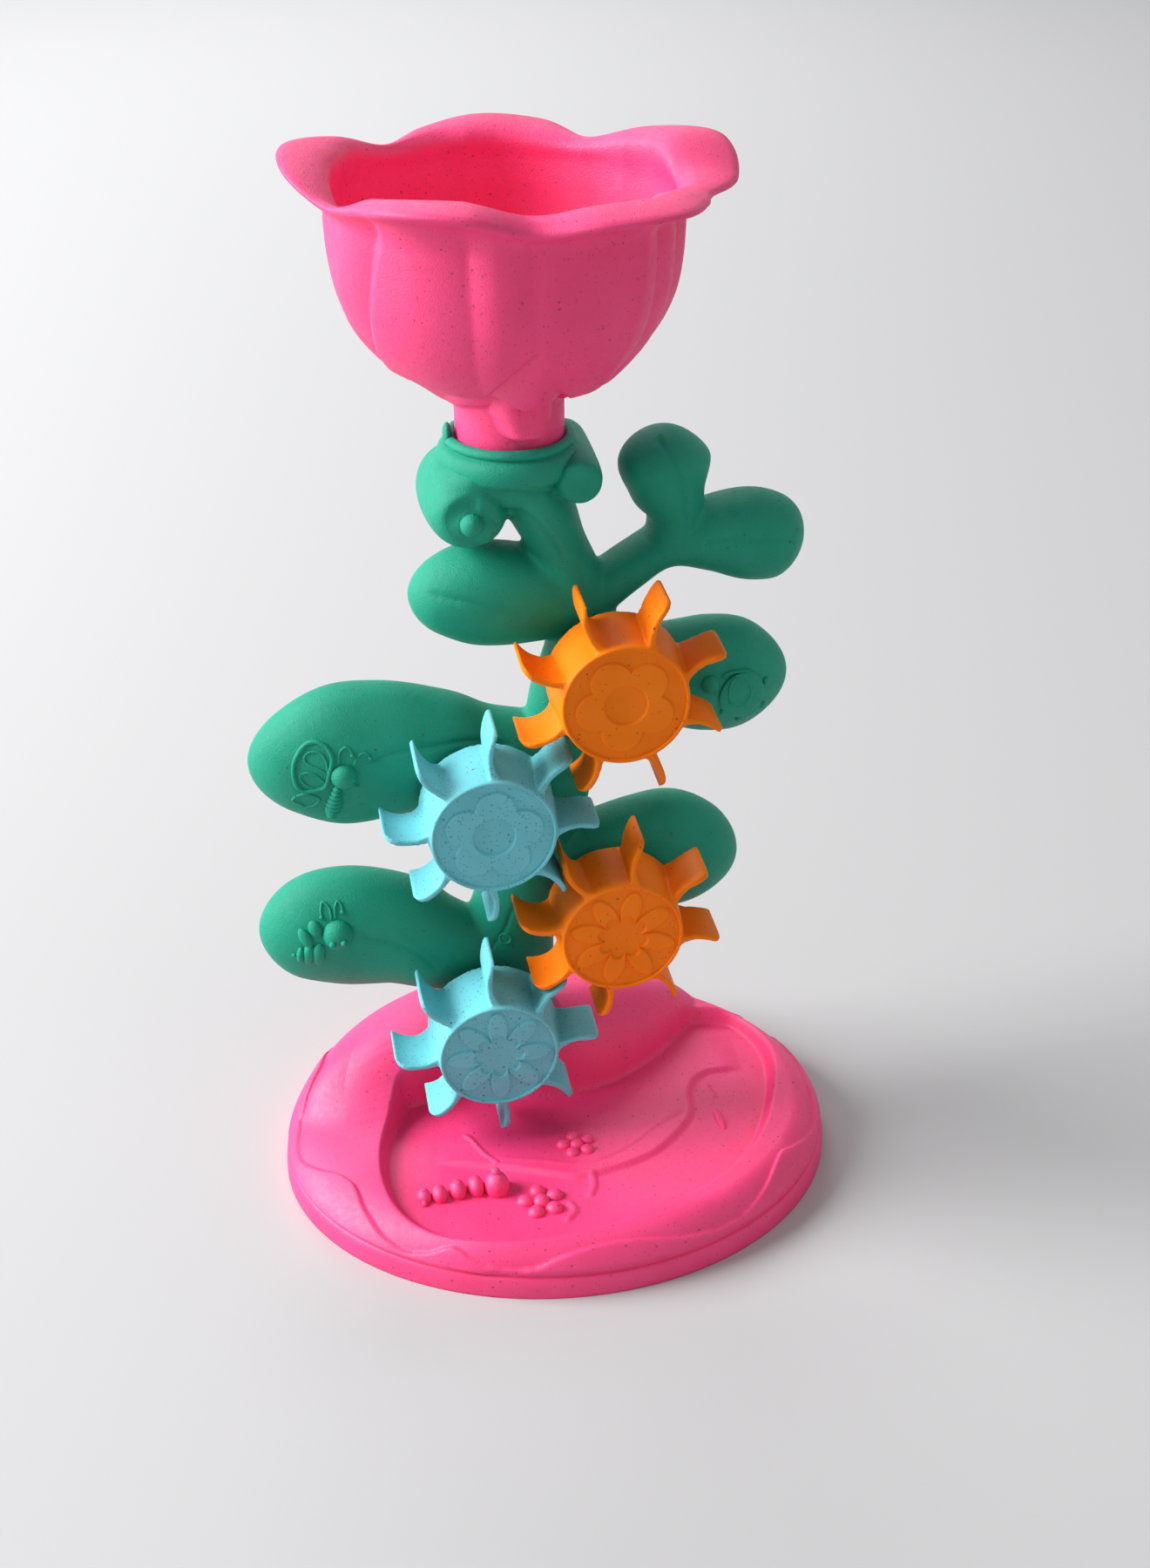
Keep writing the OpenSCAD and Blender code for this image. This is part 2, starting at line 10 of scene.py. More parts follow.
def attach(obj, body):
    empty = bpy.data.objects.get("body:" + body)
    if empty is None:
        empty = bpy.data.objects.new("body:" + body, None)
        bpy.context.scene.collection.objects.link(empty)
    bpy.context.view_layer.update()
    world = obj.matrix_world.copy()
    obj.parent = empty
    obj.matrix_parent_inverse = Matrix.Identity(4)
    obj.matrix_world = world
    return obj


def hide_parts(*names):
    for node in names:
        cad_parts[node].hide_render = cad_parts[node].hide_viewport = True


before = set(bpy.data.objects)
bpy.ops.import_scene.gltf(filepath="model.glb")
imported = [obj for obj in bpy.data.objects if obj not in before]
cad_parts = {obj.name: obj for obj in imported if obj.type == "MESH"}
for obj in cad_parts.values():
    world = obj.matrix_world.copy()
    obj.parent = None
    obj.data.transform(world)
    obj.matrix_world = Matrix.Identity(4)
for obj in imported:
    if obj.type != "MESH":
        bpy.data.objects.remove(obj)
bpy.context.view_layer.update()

# The base: an oval foot with a raised bank, a pond sunk into its front and a hill that carries
# the stem. Moulded in one piece of speckled pink plastic, with a rounded skirt all round.
mm = 0.001
base_half = np.array([113.0, 94.0])
skirt_top = 9.0
skirt_lean = 2.4
bank_top = 22.0
bank_widths = (11.5, 27.0)
bank_power = 1.75
pond_floor = 15.0
pond_slope = 3.6
hill_top = 52.0
hill_peak = np.array([-0.16, 0.28]) * base_half
seat_centre = np.array([-16.0, 26.0])
seat_half = np.array([21.9, 14.5])
hill_fillet, pond_fillet, evened_over = 7.0, 5.0, 19.0
lip_shares = [
    (-0.50, 0.20), (-0.63, -0.05), (-0.672, -0.33), (-0.63, -0.58), (-0.50, -0.755),
    (-0.30, -0.848), (-0.05, -0.86), (0.22, -0.785), (0.48, -0.64), (0.68, -0.41),
    (0.80, -0.12), (0.855, 0.19), (0.79, 0.46), (0.66, 0.54), (0.42, 0.50), (-0.10, 0.30),
]
hill_shares = [
    (-0.45, 0.16), (-0.22, 0.115), (0.06, 0.105), (0.22, 0.14), (0.39, 0.27), (0.55, 0.46),
    (0.66, 0.60), (0.60, 0.76), (0.36, 0.90), (0.02, 0.965), (-0.36, 0.90), (-0.68, 0.70),
    (-0.88, 0.42), (-0.95, 0.17), (-0.86, 0.02), (-0.66, 0.09),
]


def smooth_curve(points, steps, closed=False):
    """A smooth curve through a few points."""
    p = np.array(points, float)
    n = len(p)
    rows = []
    for i in range(n if closed else n - 1):
        around = [i - 1, i, i + 1, i + 2]
        if closed:
            a, b, c, d = (p[k % n] for k in around)
        else:
            a, b, c, d = (p[min(max(k, 0), n - 1)] for k in around)
        for t in np.arange(steps) / steps:
            rows.append(
                (2 * b + (c - a) * t + (2 * a - 5 * b + 4 * c - d) * t * t
                 + (3 * b - a - 3 * c + d) * t ** 3) / 2
            )
    if not closed:
        rows.append(p[-1])
    return np.array(rows)


def nearest(points, path, closed=False):
    """How far each point is from a path, and how far along the path that is, from 0 to 1."""
    ends = np.roll(path, -1, axis=0) if closed else path[1:]
    starts = path if closed else path[:-1]
    best = np.full(len(points), 1e9)
    along = np.zeros(len(points))
    for k, (a, b) in enumerate(zip(starts, ends)):
        run = b - a
        t = np.clip(((points - a) @ run) / max(run @ run, 1e-12), 0, 1)
        gap = lengths(points - a - t[:, None] * run)
        nearer = gap < best
        best[nearer] = gap[nearer]
        along[nearer] = ((k + t) / len(starts))[nearer]
    return best, along


def inside(points, loop):
    """Which points lie inside a closed loop."""
    x, y = points[:, 0], points[:, 1]
    hit = np.zeros(len(points), bool)
    for a, b in zip(loop, np.roll(loop, -1, axis=0)):
        crosses = (a[1] > y) != (b[1] > y)
        hit ^= crosses & (x < (b[0] - a[0]) * (y - a[1]) / (b[1] - a[1] + 1e-12) + a[0])
    return hit


def lengths(rows):
    return np.linalg.norm(rows, axis=1)


def ease(t):
    t = np.clip(t, 0, 1)
    return t * t * (3 - 2 * t)


def soft_max(a, b, k):
    """The greater of two values, rounded over where they are less than k apart."""
    h = np.clip(k - np.abs(a - b), 0, None) / k
    return np.maximum(a, b) + h * h * k / 4


lip = smooth_curve(lip_shares, 8, True) * base_half
hill_foot = smooth_curve(hill_shares, 8, True) * base_half

# How far the hill reaches from its peak at every degree round, evened out over a few degrees
foot = (hill_foot - hill_peak) / base_half
foot_angle = np.degrees(np.arctan2(foot[:, 1], foot[:, 0]))
order = np.argsort(foot_angle)
degrees = np.arange(-180, 180)
hill_reach = np.interp(
    degrees, foot_angle[order], lengths(foot)[order], period=360
)
spread = np.exp(-(np.arange(-12, 13) / 6) ** 2)
hill_reach = np.convolve(np.tile(hill_reach, 3), spread / spread.sum(), "same")[360:720]


def bank_height(points):
    """Height of the bank over the plan, without the hill and the pond."""
    share = lengths(points / base_half)
    steepness = lengths(points / base_half ** 2) / np.maximum(share, 1e-6)
    inset = (1 - share) / np.maximum(steepness, 1e-6)
    to_left = ease((-0.35 - points[:, 0] / base_half[0]) / 0.45)
    width = bank_widths[0] + (bank_widths[1] - bank_widths[0]) * to_left
    u = np.clip((inset - skirt_lean) / width, 0, 1)
    rise = (1 - (1 - u) ** bank_power) ** (1 / bank_power)
    return skirt_top + (bank_top - skirt_top) * rise


def hill_over(ground, points, reach, pulled_in=1.0):
    """The hill laid over the ground, rounded in over the given reach where they meet."""
    away = (points - hill_peak) / base_half
    angle = np.degrees(np.arctan2(away[:, 1], away[:, 0]))
    limit = np.interp(angle, degrees, hill_reach, period=360)
    share = lengths(away) / limit * pulled_in
    facing = np.clip((0.28 - points[:, 1] / base_half[1]) / 0.3, 0, 1)
    power = 0.47 + 0.15 * facing
    hill = skirt_top + (hill_top - skirt_top) * np.clip(1 - share ** 2, 0, 1) ** power
    hill -= np.clip(share - 1, 0, None) * 60
    return np.minimum(soft_max(ground, hill, reach), hill_top)


def ground_height(points):
    """Height of the base's top over the plan, without its lines and reliefs."""
    reach, _ = nearest(points, lip, True)
    depth = np.where(inside(points, lip), reach, -reach)
    lip_round = 0.8
    sunk = ease((depth + lip_round) / (pond_slope + lip_round))
    corner = ease((-0.12 - points[:, 0] / base_half[0]) / 0.34)
    floor = hill_over(np.full(len(points), pond_floor), points, pond_fillet, 1 + 0.2 * corner)

    # Round the pond the hill runs out into the bank: smooth all over on its left, where it is
    # the mean of the ground round each place
    share = lengths(points / base_half)
    left = ease((-0.26 - points[:, 0] / base_half[0]) / 0.34)
    left *= ease((0.72 - points[:, 1] / base_half[1]) / 0.5)
    spread = evened_over * left * np.clip((1 - share) / 0.22, 0, 1)
    outside = np.zeros(len(points))
    rings, around = np.linspace(0.06, 1, 7), 18
    weights = rings * (1.15 - rings)
    for ring, weight in zip(rings, weights):
        for k in range(around):
            turn = 2 * math.pi * (k + 3.4 * ring) / around
            near = points + (ring * spread)[:, None] * np.array([math.cos(turn), math.sin(turn)])
            outside += weight * hill_over(bank_height(near), near, hill_fillet)
    outside /= around * weights.sum()
    return outside * (1 - sunk) + np.minimum(floor, outside) * sunk


base_mesh = bmesh.new()
base_around = 540
base_rows = 166
bmesh.ops.create_grid(base_mesh, x_segments=base_around, y_segments=base_rows, size=0.5)
place = np.array([v.co[:2] for v in base_mesh.verts]) + 0.5
skirt_share = 0.12
angle = 2 * math.pi * place[:, 0]
turn = np.stack([np.cos(angle), np.sin(angle)], axis=1)
on_skirt = place[:, 1] < skirt_share
rise = np.clip(place[:, 1] / skirt_share, 0, 1)
inward = np.clip((place[:, 1] - skirt_share) / (1 - skirt_share), 0, 1)[:, None] ** 1.2
skirt_inset = skirt_lean * (1 - np.cos(rise * math.pi / 2)) ** 1.2
skirt_z = skirt_top * np.sin(rise * math.pi / 2) ** 0.9
outer = turn * (base_half - skirt_lean)
plan = outer * (1 - inward) + (seat_centre + turn * seat_half) * inward
top_z = ground_height(plan)
plan = np.where(on_skirt[:, None], turn * (base_half - skirt_inset[:, None]), plan)
shape = np.column_stack([plan, np.where(on_skirt, skirt_z, top_z)])

# The raised wavy layer round the foot of the bank
wave = np.array([
    (-88, 52), (-95, 30.6), (-98.6, 24.3), (-102.1, 19), (-104.6, 12.5), (-106.2, 4.9),
    (-107.2, -2.1), (-107.2, -8.5), (-105, -16), (-98.6, -24), (-94.1, -27.6), (-90.3, -32),
    (-87.7, -35.7), (-85.8, -41), (-84.2, -48.2), (-81.4, -55.3), (-78.6, -60.7), (-75.1, -65),
    (-71.5, -68.5), (-68.3, -70.8), (-64.6, -72.7), (-60.8, -74.2), (-56.9, -75.1), (-53, -76),
    (-49.9, -78), (-46.4, -80.9), (-42.8, -83.2), (-38.1, -85.2), (-33.8, -86.6), (-28.9, -87.8),
    (-24, -88.5), (-20.6, -88.7), (-13.8, -88.2), (-5.2, -87.4), (3.4, -86.5), (13.7, -85.8),
    (24.1, -85.4), (34.6, -84.4), (46, -81.5), (57, -77), (66, -71), (74, -63), (80, -54),
    (84, -48), (90, -44), (98, -36), (103, -27), (106, -14), (107, 2), (105.5, 19), (101, 34),
    (94, 47), (60, 60), (0, 70), (-60, 66),
])
wave_loop = smooth_curve(wave, 4, True)
wave_solid = np.column_stack([wave_loop, bank_height(wave_loop)])
gap, _ = nearest(shape, wave_solid, True)
raised = np.where(inside(plan, wave_loop), 0.0, 1.0) * ease(gap / 0.9)
around_angle = np.degrees(np.arctan2(plan[:, 1] / base_half[1], plan[:, 0] / base_half[0]))
from_back = np.abs((around_angle - 90 + 180) % 360 - 180)
raised *= ease((from_back - 54) / 3) * ease((shape[:, 2] - skirt_top - 0.2) / 0.9) * ~on_skirt
outward = np.column_stack([plan / base_half ** 2, np.full(len(plan), 0.0)])
outward /= lengths(outward)[:, None]
slope = ease((bank_top - shape[:, 2]) / (bank_top - skirt_top))[:, None]
layer, groove = 1.5, 0.5
shape += raised[:, None] * layer * (outward * slope + np.array([0, 0, 1.0]) * (1 - slope * 0.6))
skirt_line = groove * np.exp(-((shape[:, 2] - skirt_top - 0.2) / 0.4) ** 2)
shape -= outward * (skirt_line * (from_back > 60))[:, None]

# A low terrace across the pond that steps down towards the front, and small ridges: each ridge
# is a line with its width at both ends and its height
terrace = smooth_curve([
    (-54, -24), (-42.4, -26.8), (-20.5, -33.7), (-7.1, -39.1), (3.8, -42), (18.6, -39.1),
    (34.2, -33), (46.7, -21.8), (54.1, -11.7), (55.8, -0.4), (59.3, 8.5), (66.7, 14.5),
    (76.1, 15.4), (84, 15.5),
], 6)
gap, along = nearest(plan, terrace)
above = inside(plan, np.vstack([terrace, [(84, 80), (-54, 80)]]))
step = np.where(above, np.exp(-gap / 15), 1 - ease(gap / 2.8))
in_pond = top_z < pond_floor + 2.5
terrace_rise = 1.7 * ease(np.minimum(along, 1 - along) / 0.09)
shape[:, 2] += terrace_rise * step * in_pond * ~on_skirt
pond_lines = [
    ([(-39.7, -10.8), (-37.8, -13.4), (-33.4, -24), (-29.5, -29.8)], 1.4, 1.3, 0.7),
    ([(-28, -27.7), (-11.8, -31.8), (4.7, -36), (23.8, -29), (38, -18), (50.6, -10.8)],
     1.4, 1.4, 0.4),
    ([(7.8, -43), (7.4, -49), (5, -54)], 1.8, 1.6, 0.9),
    ([(-3.9, -57.4), (-2.6, -62), (-6.2, -66.6)], 1.7, 1.6, 1.0),
    ([(65.5, 5.6), (67.5, -2.3)], 1.3, 1.1, 0.7),
]
for points, start_width, end_width, height in pond_lines:
    gap, along = nearest(plan, smooth_curve(points, 6))
    width = start_width + (end_width - start_width) * ease(along * 2)
    shape[:, 2] += height * np.clip(1 - (gap / width) ** 2, 0, 1) * ~on_skirt

for v, co in zip(base_mesh.verts, shape * mm):
    v.co = co
bmesh.ops.remove_doubles(base_mesh, verts=base_mesh.verts, dist=1e-6)
bmesh.ops.holes_fill(base_mesh, edges=base_mesh.edges, sides=0)


def placed(name, mesh):
    """A bmesh made into an object in the scene."""
    data = bpy.data.meshes.new(name)
    mesh.to_mesh(data)
    mesh.free()
    made = bpy.data.objects.new(name, data)
    bpy.context.scene.collection.objects.link(made)
    return made


def finished(mesh, name, body, material, replaced=()):
    """A bmesh made into a named piece of one material that rides on a body."""
    bmesh.ops.recalc_face_normals(mesh, faces=mesh.faces)
    piece = placed(name, mesh)
    piece.data.shade_smooth()
    piece.data.materials.append(material)
    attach(piece, body)
    if replaced:
        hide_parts(*replaced)
    return piece


def feed(tree, socket, value):
    """Sets a shader node's input to a value, or links it to an output."""
    if isinstance(value, bpy.types.NodeSocket):
        tree.links.new(value, socket)
    else:
        socket.default_value = value


def shader_node(tree, kind, **values):
    """A new shader node, with a value or an output for each input that is named."""
    node = tree.nodes.new(kind)
    for name, value in values.items():
        feed(tree, node.inputs[name.replace("_", " ")], value)
    return node


def maths(tree, operation, a, b):
    node = tree.nodes.new("ShaderNodeMath")
    node.operation = operation
    feed(tree, node.inputs[0], a)
    feed(tree, node.inputs[1], b)
    return node.outputs["Value"]


def mix(tree, factor, a, b):
    node = tree.nodes.new("ShaderNodeMix")
    node.data_type = "RGBA"
    for name, value in (("Factor", factor), ("A", a), ("B", b)):
        feed(tree, node.inputs[name], value)
    return node.outputs["Result"]


def moulded_plastic(name, colour, grain, speck, shine):
    """Satin moulded plastic with fine grain and small dark specks of plant fibre in it."""
    material = bpy.data.materials.new(name)
    material.use_nodes = True
    tree = material.node_tree
    shader = tree.nodes["Principled BSDF"]
    place = tree.nodes.new("ShaderNodeTexCoord").outputs["Object"]

    def noise(scale, detail, rough=0.5):
        return shader_node(
            tree, "ShaderNodeTexNoise", Vector=place, Scale=scale, Detail=detail, Roughness=rough
        ).outputs["Fac"]

    def spread(source, low, high, to_low, to_high):
        return shader_node(
            tree, "ShaderNodeMapRange", Value=source, From_Min=low, From_Max=high,
            To_Min=to_low, To_Max=to_high,
        ).outputs["Result"]

    # Specks: cells of two sizes, of which only a few hold one, with a ragged edge
    ragged = noise(2600, 1)
    specks = None
    for cell, size, kept in ((330, 0.20, 0.17 * speck), (760, 0.25, 0.22 * speck)):
        cells = shader_node(tree, "ShaderNodeTexVoronoi", Vector=place, Scale=cell)
        chance = shader_node(tree, "ShaderNodeSeparateColor", Color=cells.outputs["Color"])
        wobble = maths(tree, "ADD", cells.outputs["Distance"], maths(tree, "MULTIPLY", ragged, 0.10))
        dot = spread(wobble, size - 0.02, size + 0.04, 1, 0)
        has = maths(tree, "LESS_THAN", chance.outputs["Red"], kept)
        tone = spread(chance.outputs["Green"], 0, 1, 0.3, 0.95)
        this = maths(tree, "MULTIPLY", maths(tree, "MULTIPLY", dot, has), tone)
        specks = this if specks is None else maths(tree, "MAXIMUM", specks, this)

    cloudy = spread(noise(45, 3), 0.3, 0.7, 0, 1)
    paler = tuple(min(c * 1.06 + 0.006, 1) for c in colour) + (1,)
    deeper = tuple(c * 0.94 for c in colour) + (1,)
    body = mix(tree, cloudy, deeper, paler)
    brown = tuple(0.25 * c + d for c, d in zip(colour, (0.035, 0.02, 0.01))) + (1,)
    feed(tree, shader.inputs["Base Color"], mix(tree, specks, body, brown))

    fine, coarse = noise(1900, 3, 0.6), noise(420, 2)
    height = maths(tree, "ADD", fine, maths(tree, "MULTIPLY", coarse, 0.35))
    bump = shader_node(tree, "ShaderNodeBump", Height=height, Strength=grain, Distance=0.0004)
    feed(tree, shader.inputs["Normal"], bump.outputs["Normal"])
    feed(tree, shader.inputs["Roughness"], spread(coarse, 0.3, 0.7, 0.44, 0.56))
    feed(tree, shader.inputs["Specular IOR Level"], shine)
    return material


base_plastic = moulded_plastic("speckled_pink", (1.0, 0.044, 0.215), 0.4, 1.4, 0.6)
finished(base_mesh, "pond_base", "stand", base_plastic, ["base"])

# Reliefs in the pond: two five-petalled flowers, a caterpillar of five beads and a small leaf,
# all moulded with the base and standing a few millimetres proud of the pond's floor.
relief_mesh = bmesh.new()


def bead(mesh, centre, radii, turn=0.0, facets=(28, 18)):
    """An egg with three half widths, turned about the upright."""
    at = Matrix.Translation(Vector(centre) * mm) @ Matrix.Rotation(turn, 4, "Z")
    at = at @ Matrix.Diagonal((*(r * mm for r in radii), 1))
    bmesh.ops.create_uvsphere(
        mesh, u_segments=facets[0], v_segments=facets[1], radius=1, matrix=at
    )


for centre, size in (((4.6, -24.0, pond_floor + 0.6), 1.0), ((-14.8, -55.0, pond_floor), 1.2)):
    bead(relief_mesh, centre, (2.9 * size, 2.9 * size, 2.7 * size))
    for k in range(5):
        a = math.radians(72 * k + 26)
        out = (centre[0] + 5.3 * size * math.cos(a), centre[1] + 5.3 * size * math.sin(a))
        bead(relief_mesh, (*out, centre[2]), (2.9 * size, 2.7 * size, 2.3 * size), a)
caterpillar = [
    ((-60.4, -45.2), 2.9, 3.7, 3.2), ((-54.2, -45.2), 3.2, 4.3, 3.8), ((-46.9, -44.0), 3.5, 4.7, 4.3),
    ((-39.5, -43.5), 3.4, 4.8, 4.6), ((-31.2, -44.8), 5.0, 5.4, 6.2),
]
for (x, y), across, deep, high in caterpillar:
    bead(relief_mesh, (x, y, pond_floor + high * 0.35), (across, deep, high), 0.1)
bead(relief_mesh, (-31.4, -43.6, pond_floor + 8.2), (2.0, 2.0, 1.8))
bead(relief_mesh, (-60.6, -48.6, pond_floor + 0.6), (1.2, 1.6, 1.3))
bead(relief_mesh, (66.3, -17.2, pond_floor), (2.0, 7.0, 1.3), 0.1)
bead(relief_mesh, (66.3, -17.2, pond_floor + 0.7), (0.6, 6.0, 1.2), 0.1)
finished(relief_mesh, "pond_reliefs", "stand", base_plastic)

# The stem: a trunk with seven rounded leaves, a rolled scroll and a curl under the collar that
# takes the funnel. One moulding of green plastic with a fine grain, pressed into the base's hill.
stem_plastic = moulded_plastic("grained_green", (0.002, 0.31, 0.195), 0.9, 0.5, 0.3)
stem_height = 308.0
stem_middle = 26.0
head_depth = 46.0
# Stations: place across and up, and half width, as shares of the stem's height, then half
# depth as a share of the head's depth
trunk = [
    (-0.117, 0.938, 0.026, 0.44), (-0.078, 0.958, 0.029, 0.48), (-0.030, 0.942, 0.036, 0.49),
    (-0.003, 0.902, 0.040, 0.46), (0.018, 0.852, 0.035, 0.38), (0.037, 0.808, 0.035, 0.33),
    (0.052, 0.760, 0.039, 0.31), (0.042, 0.698, 0.042, 0.31), (0.026, 0.643, 0.044, 0.30),
    (0.019, 0.584, 0.044, 0.30), (0.016, 0.519, 0.044, 0.29), (-0.003, 0.455, 0.047, 0.28),
    (-0.026, 0.390, 0.052, 0.27), (-0.045, 0.325, 0.058, 0.26), (-0.052, 0.260, 0.063, 0.26),
]
leaves = [
    [(0.039, 0.767, 0.039, 0.30), (-0.019, 0.784, 0.062, 0.36), (-0.081, 0.791, 0.065, 0.38),
     (-0.130, 0.794, 0.048, 0.31), (-0.164, 0.798, 0, 0)],
    [(0.045, 0.767, 0.031, 0.28), (0.104, 0.811, 0.027, 0.27), (0.150, 0.839, 0.027, 0.29),
     (0.201, 0.848, 0.045, 0.33), (0.253, 0.845, 0.057, 0.36), (0.295, 0.835, 0.050, 0.31),
     (0.321, 0.828, 0, 0)],
    [(0.147, 0.826, 0.025, 0.26), (0.160, 0.878, 0.033, 0.28), (0.152, 0.917, 0.048, 0.33),
     (0.147, 0.952, 0.055, 0.35), (0.146, 0.990, 0, 0)],
    [(0.032, 0.694, 0.036, 0.28), (0.091, 0.681, 0.046, 0.32), (0.156, 0.665, 0.067, 0.37),
     (0.208, 0.658, 0.077, 0.39), (0.256, 0.655, 0.071, 0.35), (0.312, 0.652, 0, 0)],
    [(0.026, 0.575, 0.037, 0.28), (-0.071, 0.572, 0.062, 0.33), (-0.136, 0.581, 0.080, 0.37),
     (-0.201, 0.585, 0.093, 0.39), (-0.263, 0.583, 0.095, 0.39), (-0.325, 0.581, 0.068, 0.31),
     (-0.372, 0.581, 0, 0)],
    [(0.000, 0.421, 0.036, 0.27), (0.055, 0.415, 0.051, 0.31), (0.110, 0.408, 0.074, 0.37),
     (0.159, 0.402, 0.085, 0.39), (0.208, 0.392, 0.070, 0.34), (0.256, 0.379, 0, 0)],
    [(-0.045, 0.252, 0.042, 0.25), (-0.110, 0.272, 0.061, 0.31), (-0.153, 0.290, 0.069, 0.35),
     (-0.201, 0.314, 0.080, 0.38), (-0.266, 0.327, 0.085, 0.39), (-0.328, 0.330, 0.071, 0.33),
     (-0.377, 0.333, 0, 0)],
]
scroll_centre = np.array([-0.093, 0.915]) * stem_height
scroll_radii = [0.028, 0.036, 0.046, 0.052, 0.052, 0.046, 0.036]
curl_centre = np.array([0.035, 0.952]) * stem_height
curl_radii = [0.021, 0.026, 0.029, 0.030, 0.030, 0.029, 0.025]
roll_depths = [-0.5, -0.46, -0.3, 0, 0.3, 0.46, 0.5]
boss_places = [(23.57, 215.6), (-25.83, 164.4), (23.57, 113.2), (-25.83, 62.0)]
boss_radius, boss_front, boss_back = 8.0, 6.6, 45.4


def ring_stack(mesh, rings):
    """A closed skin over a stack of rings, made from a grid wrapped round."""
    rings = np.array(rings)
    count, around = rings.shape[:2]
    made = bmesh.ops.create_grid(mesh, x_segments=around, y_segments=count - 1, size=0.5)["verts"]
    for v in made:
        k = int(round((v.co.x + 0.5) * around)) % around
        j = int(round((v.co.y + 0.5) * (count - 1)))
        v.co = rings[j, k] * mm
    bmesh.ops.remove_doubles(mesh, verts=made, dist=1e-6)


def limb(mesh, stations):
    """One limb: oval rings along a smooth line, closed to a round tip."""
    p = np.array(stations, float)
    closing = p[-1, 2] == 0
    tip = p[-1].copy()
    squares = np.column_stack([p[:, :2], p[:, 2:] ** 2])
    rows = smooth_curve(squares, 12)
    if closing:
        t = 1 - (1 - np.arange(12) / 12) ** 2
        last = smooth_curve(squares, 240)[-241:]
        rows = np.vstack([rows[:-13], last[(t * 240).astype(int)]])
        rows = np.vstack([rows, [tip[0], tip[1], *(squares[-2, 2:] * 0.0004)]])
    run = np.gradient(rows[:, :2], axis=0)
    side = np.column_stack([-run[:, 1], run[:, 0]]) / lengths(run)[:, None]
    wide = np.sqrt(np.clip(rows[:, 2], 0, None))
    deep = np.sqrt(np.clip(rows[:, 3], 0, None))
    around = 48
    a = 2 * math.pi * (np.arange(around) + 0.5) / around
    x = (rows[:, :1] + side[:, :1] * wide[:, None] * np.cos(a)) * stem_height
    z = (rows[:, 1:2] + side[:, 1:2] * wide[:, None] * np.cos(a)) * stem_height
    y = stem_middle - deep[:, None] * np.sin(a) * head_depth
    ring_stack(mesh, np.stack([x, y, z], axis=2))


def rolled_end(mesh, centre, radii, squash):
    """A drum with a fat middle that lies front to back, squashed below its centre."""
    around = 64
    rows = smooth_curve(np.column_stack([roll_depths, radii]), 4)
    a = 2 * math.pi * np.arange(around) / around
    x = centre[0] + rows[:, 1:2] * np.cos(a) * stem_height
    z = centre[1] - rows[:, 1:2] * np.where(np.sin(a) > 0, squash, 1) * np.sin(a) * stem_height
    y = np.repeat(stem_middle + rows[:, :1] * head_depth, around, axis=1)
    ring_stack(mesh, np.stack([x, y, z], axis=2))


def round_bar(mesh, centre, radii, length, turned=Matrix.Identity(4), segments=96):
    """A closed bar about a centre, from one radius to the other along its length."""
    bmesh.ops.create_cone(
        mesh, cap_ends=True, segments=segments, radius1=radii[0] * mm, radius2=radii[1] * mm,
        depth=length * mm, matrix=Matrix.Translation(Vector(centre) * mm) @ turned,
    )


stem_mesh = bmesh.new()
for stations in [trunk] + leaves:
    limb(stem_mesh, stations)
rolled_end(stem_mesh, scroll_centre, scroll_radii, 0.97)
rolled_end(stem_mesh, curl_centre, curl_radii, 1.0)
upright = Matrix.Rotation(math.pi / 2, 4, "X")
for x, z in boss_places:
    boss_middle = (x, (boss_front + boss_back) / 2, z)
    round_bar(stem_mesh, boss_middle, [boss_radius] * 2, boss_back - boss_front, upright, 64)
foot_half = (19.4, 11.96)
foot_low, foot_high = 51.5, 82.0
at = Matrix.Translation(Vector((*seat_centre, (foot_low + foot_high) / 2)) * mm)
at = at @ Matrix.Diagonal((*(r * mm for r in foot_half), (foot_high - foot_low) * mm, 1))
bmesh.ops.create_cone(
    stem_mesh, cap_ends=True, segments=96, radius1=1, radius2=1, depth=1, matrix=at
)
collar_centre = np.array([-11.396, 26.0])
collar_radius = 22.4
round_bar(stem_mesh, (*collar_centre, 294.0), (collar_radius - 4.5, collar_radius), 12)
bmesh.ops.holes_fill(stem_mesh, edges=stem_mesh.edges, sides=0)
stem = finished(stem_mesh, "leafy_stem", "stand", stem_plastic, ["stem"])


def applied(piece):
    """Makes a piece's modifiers part of its mesh."""
    graph = bpy.context.evaluated_depsgraph_get()
    made = bpy.data.meshes.new_from_object(piece.evaluated_get(graph), depsgraph=graph)
    old = piece.data
    piece.modifiers.clear()
    piece.data = made
    bpy.data.meshes.remove(old)
    made.name = piece.name
    made.shade_smooth()


def melted(piece, voxel, rounds):
    """Melts a piece's parts into one skin and softens where they meet."""
    remesh = piece.modifiers.new("melt", "REMESH")
    remesh.mode = "VOXEL"
    remesh.voxel_size = voxel * mm
    remesh.use_smooth_shade = True
    smooth = piece.modifiers.new("soften", "SMOOTH")
    smooth.factor = 0.5
    smooth.iterations = rounds
    applied(piece)


melted(stem, 1.2, 5)

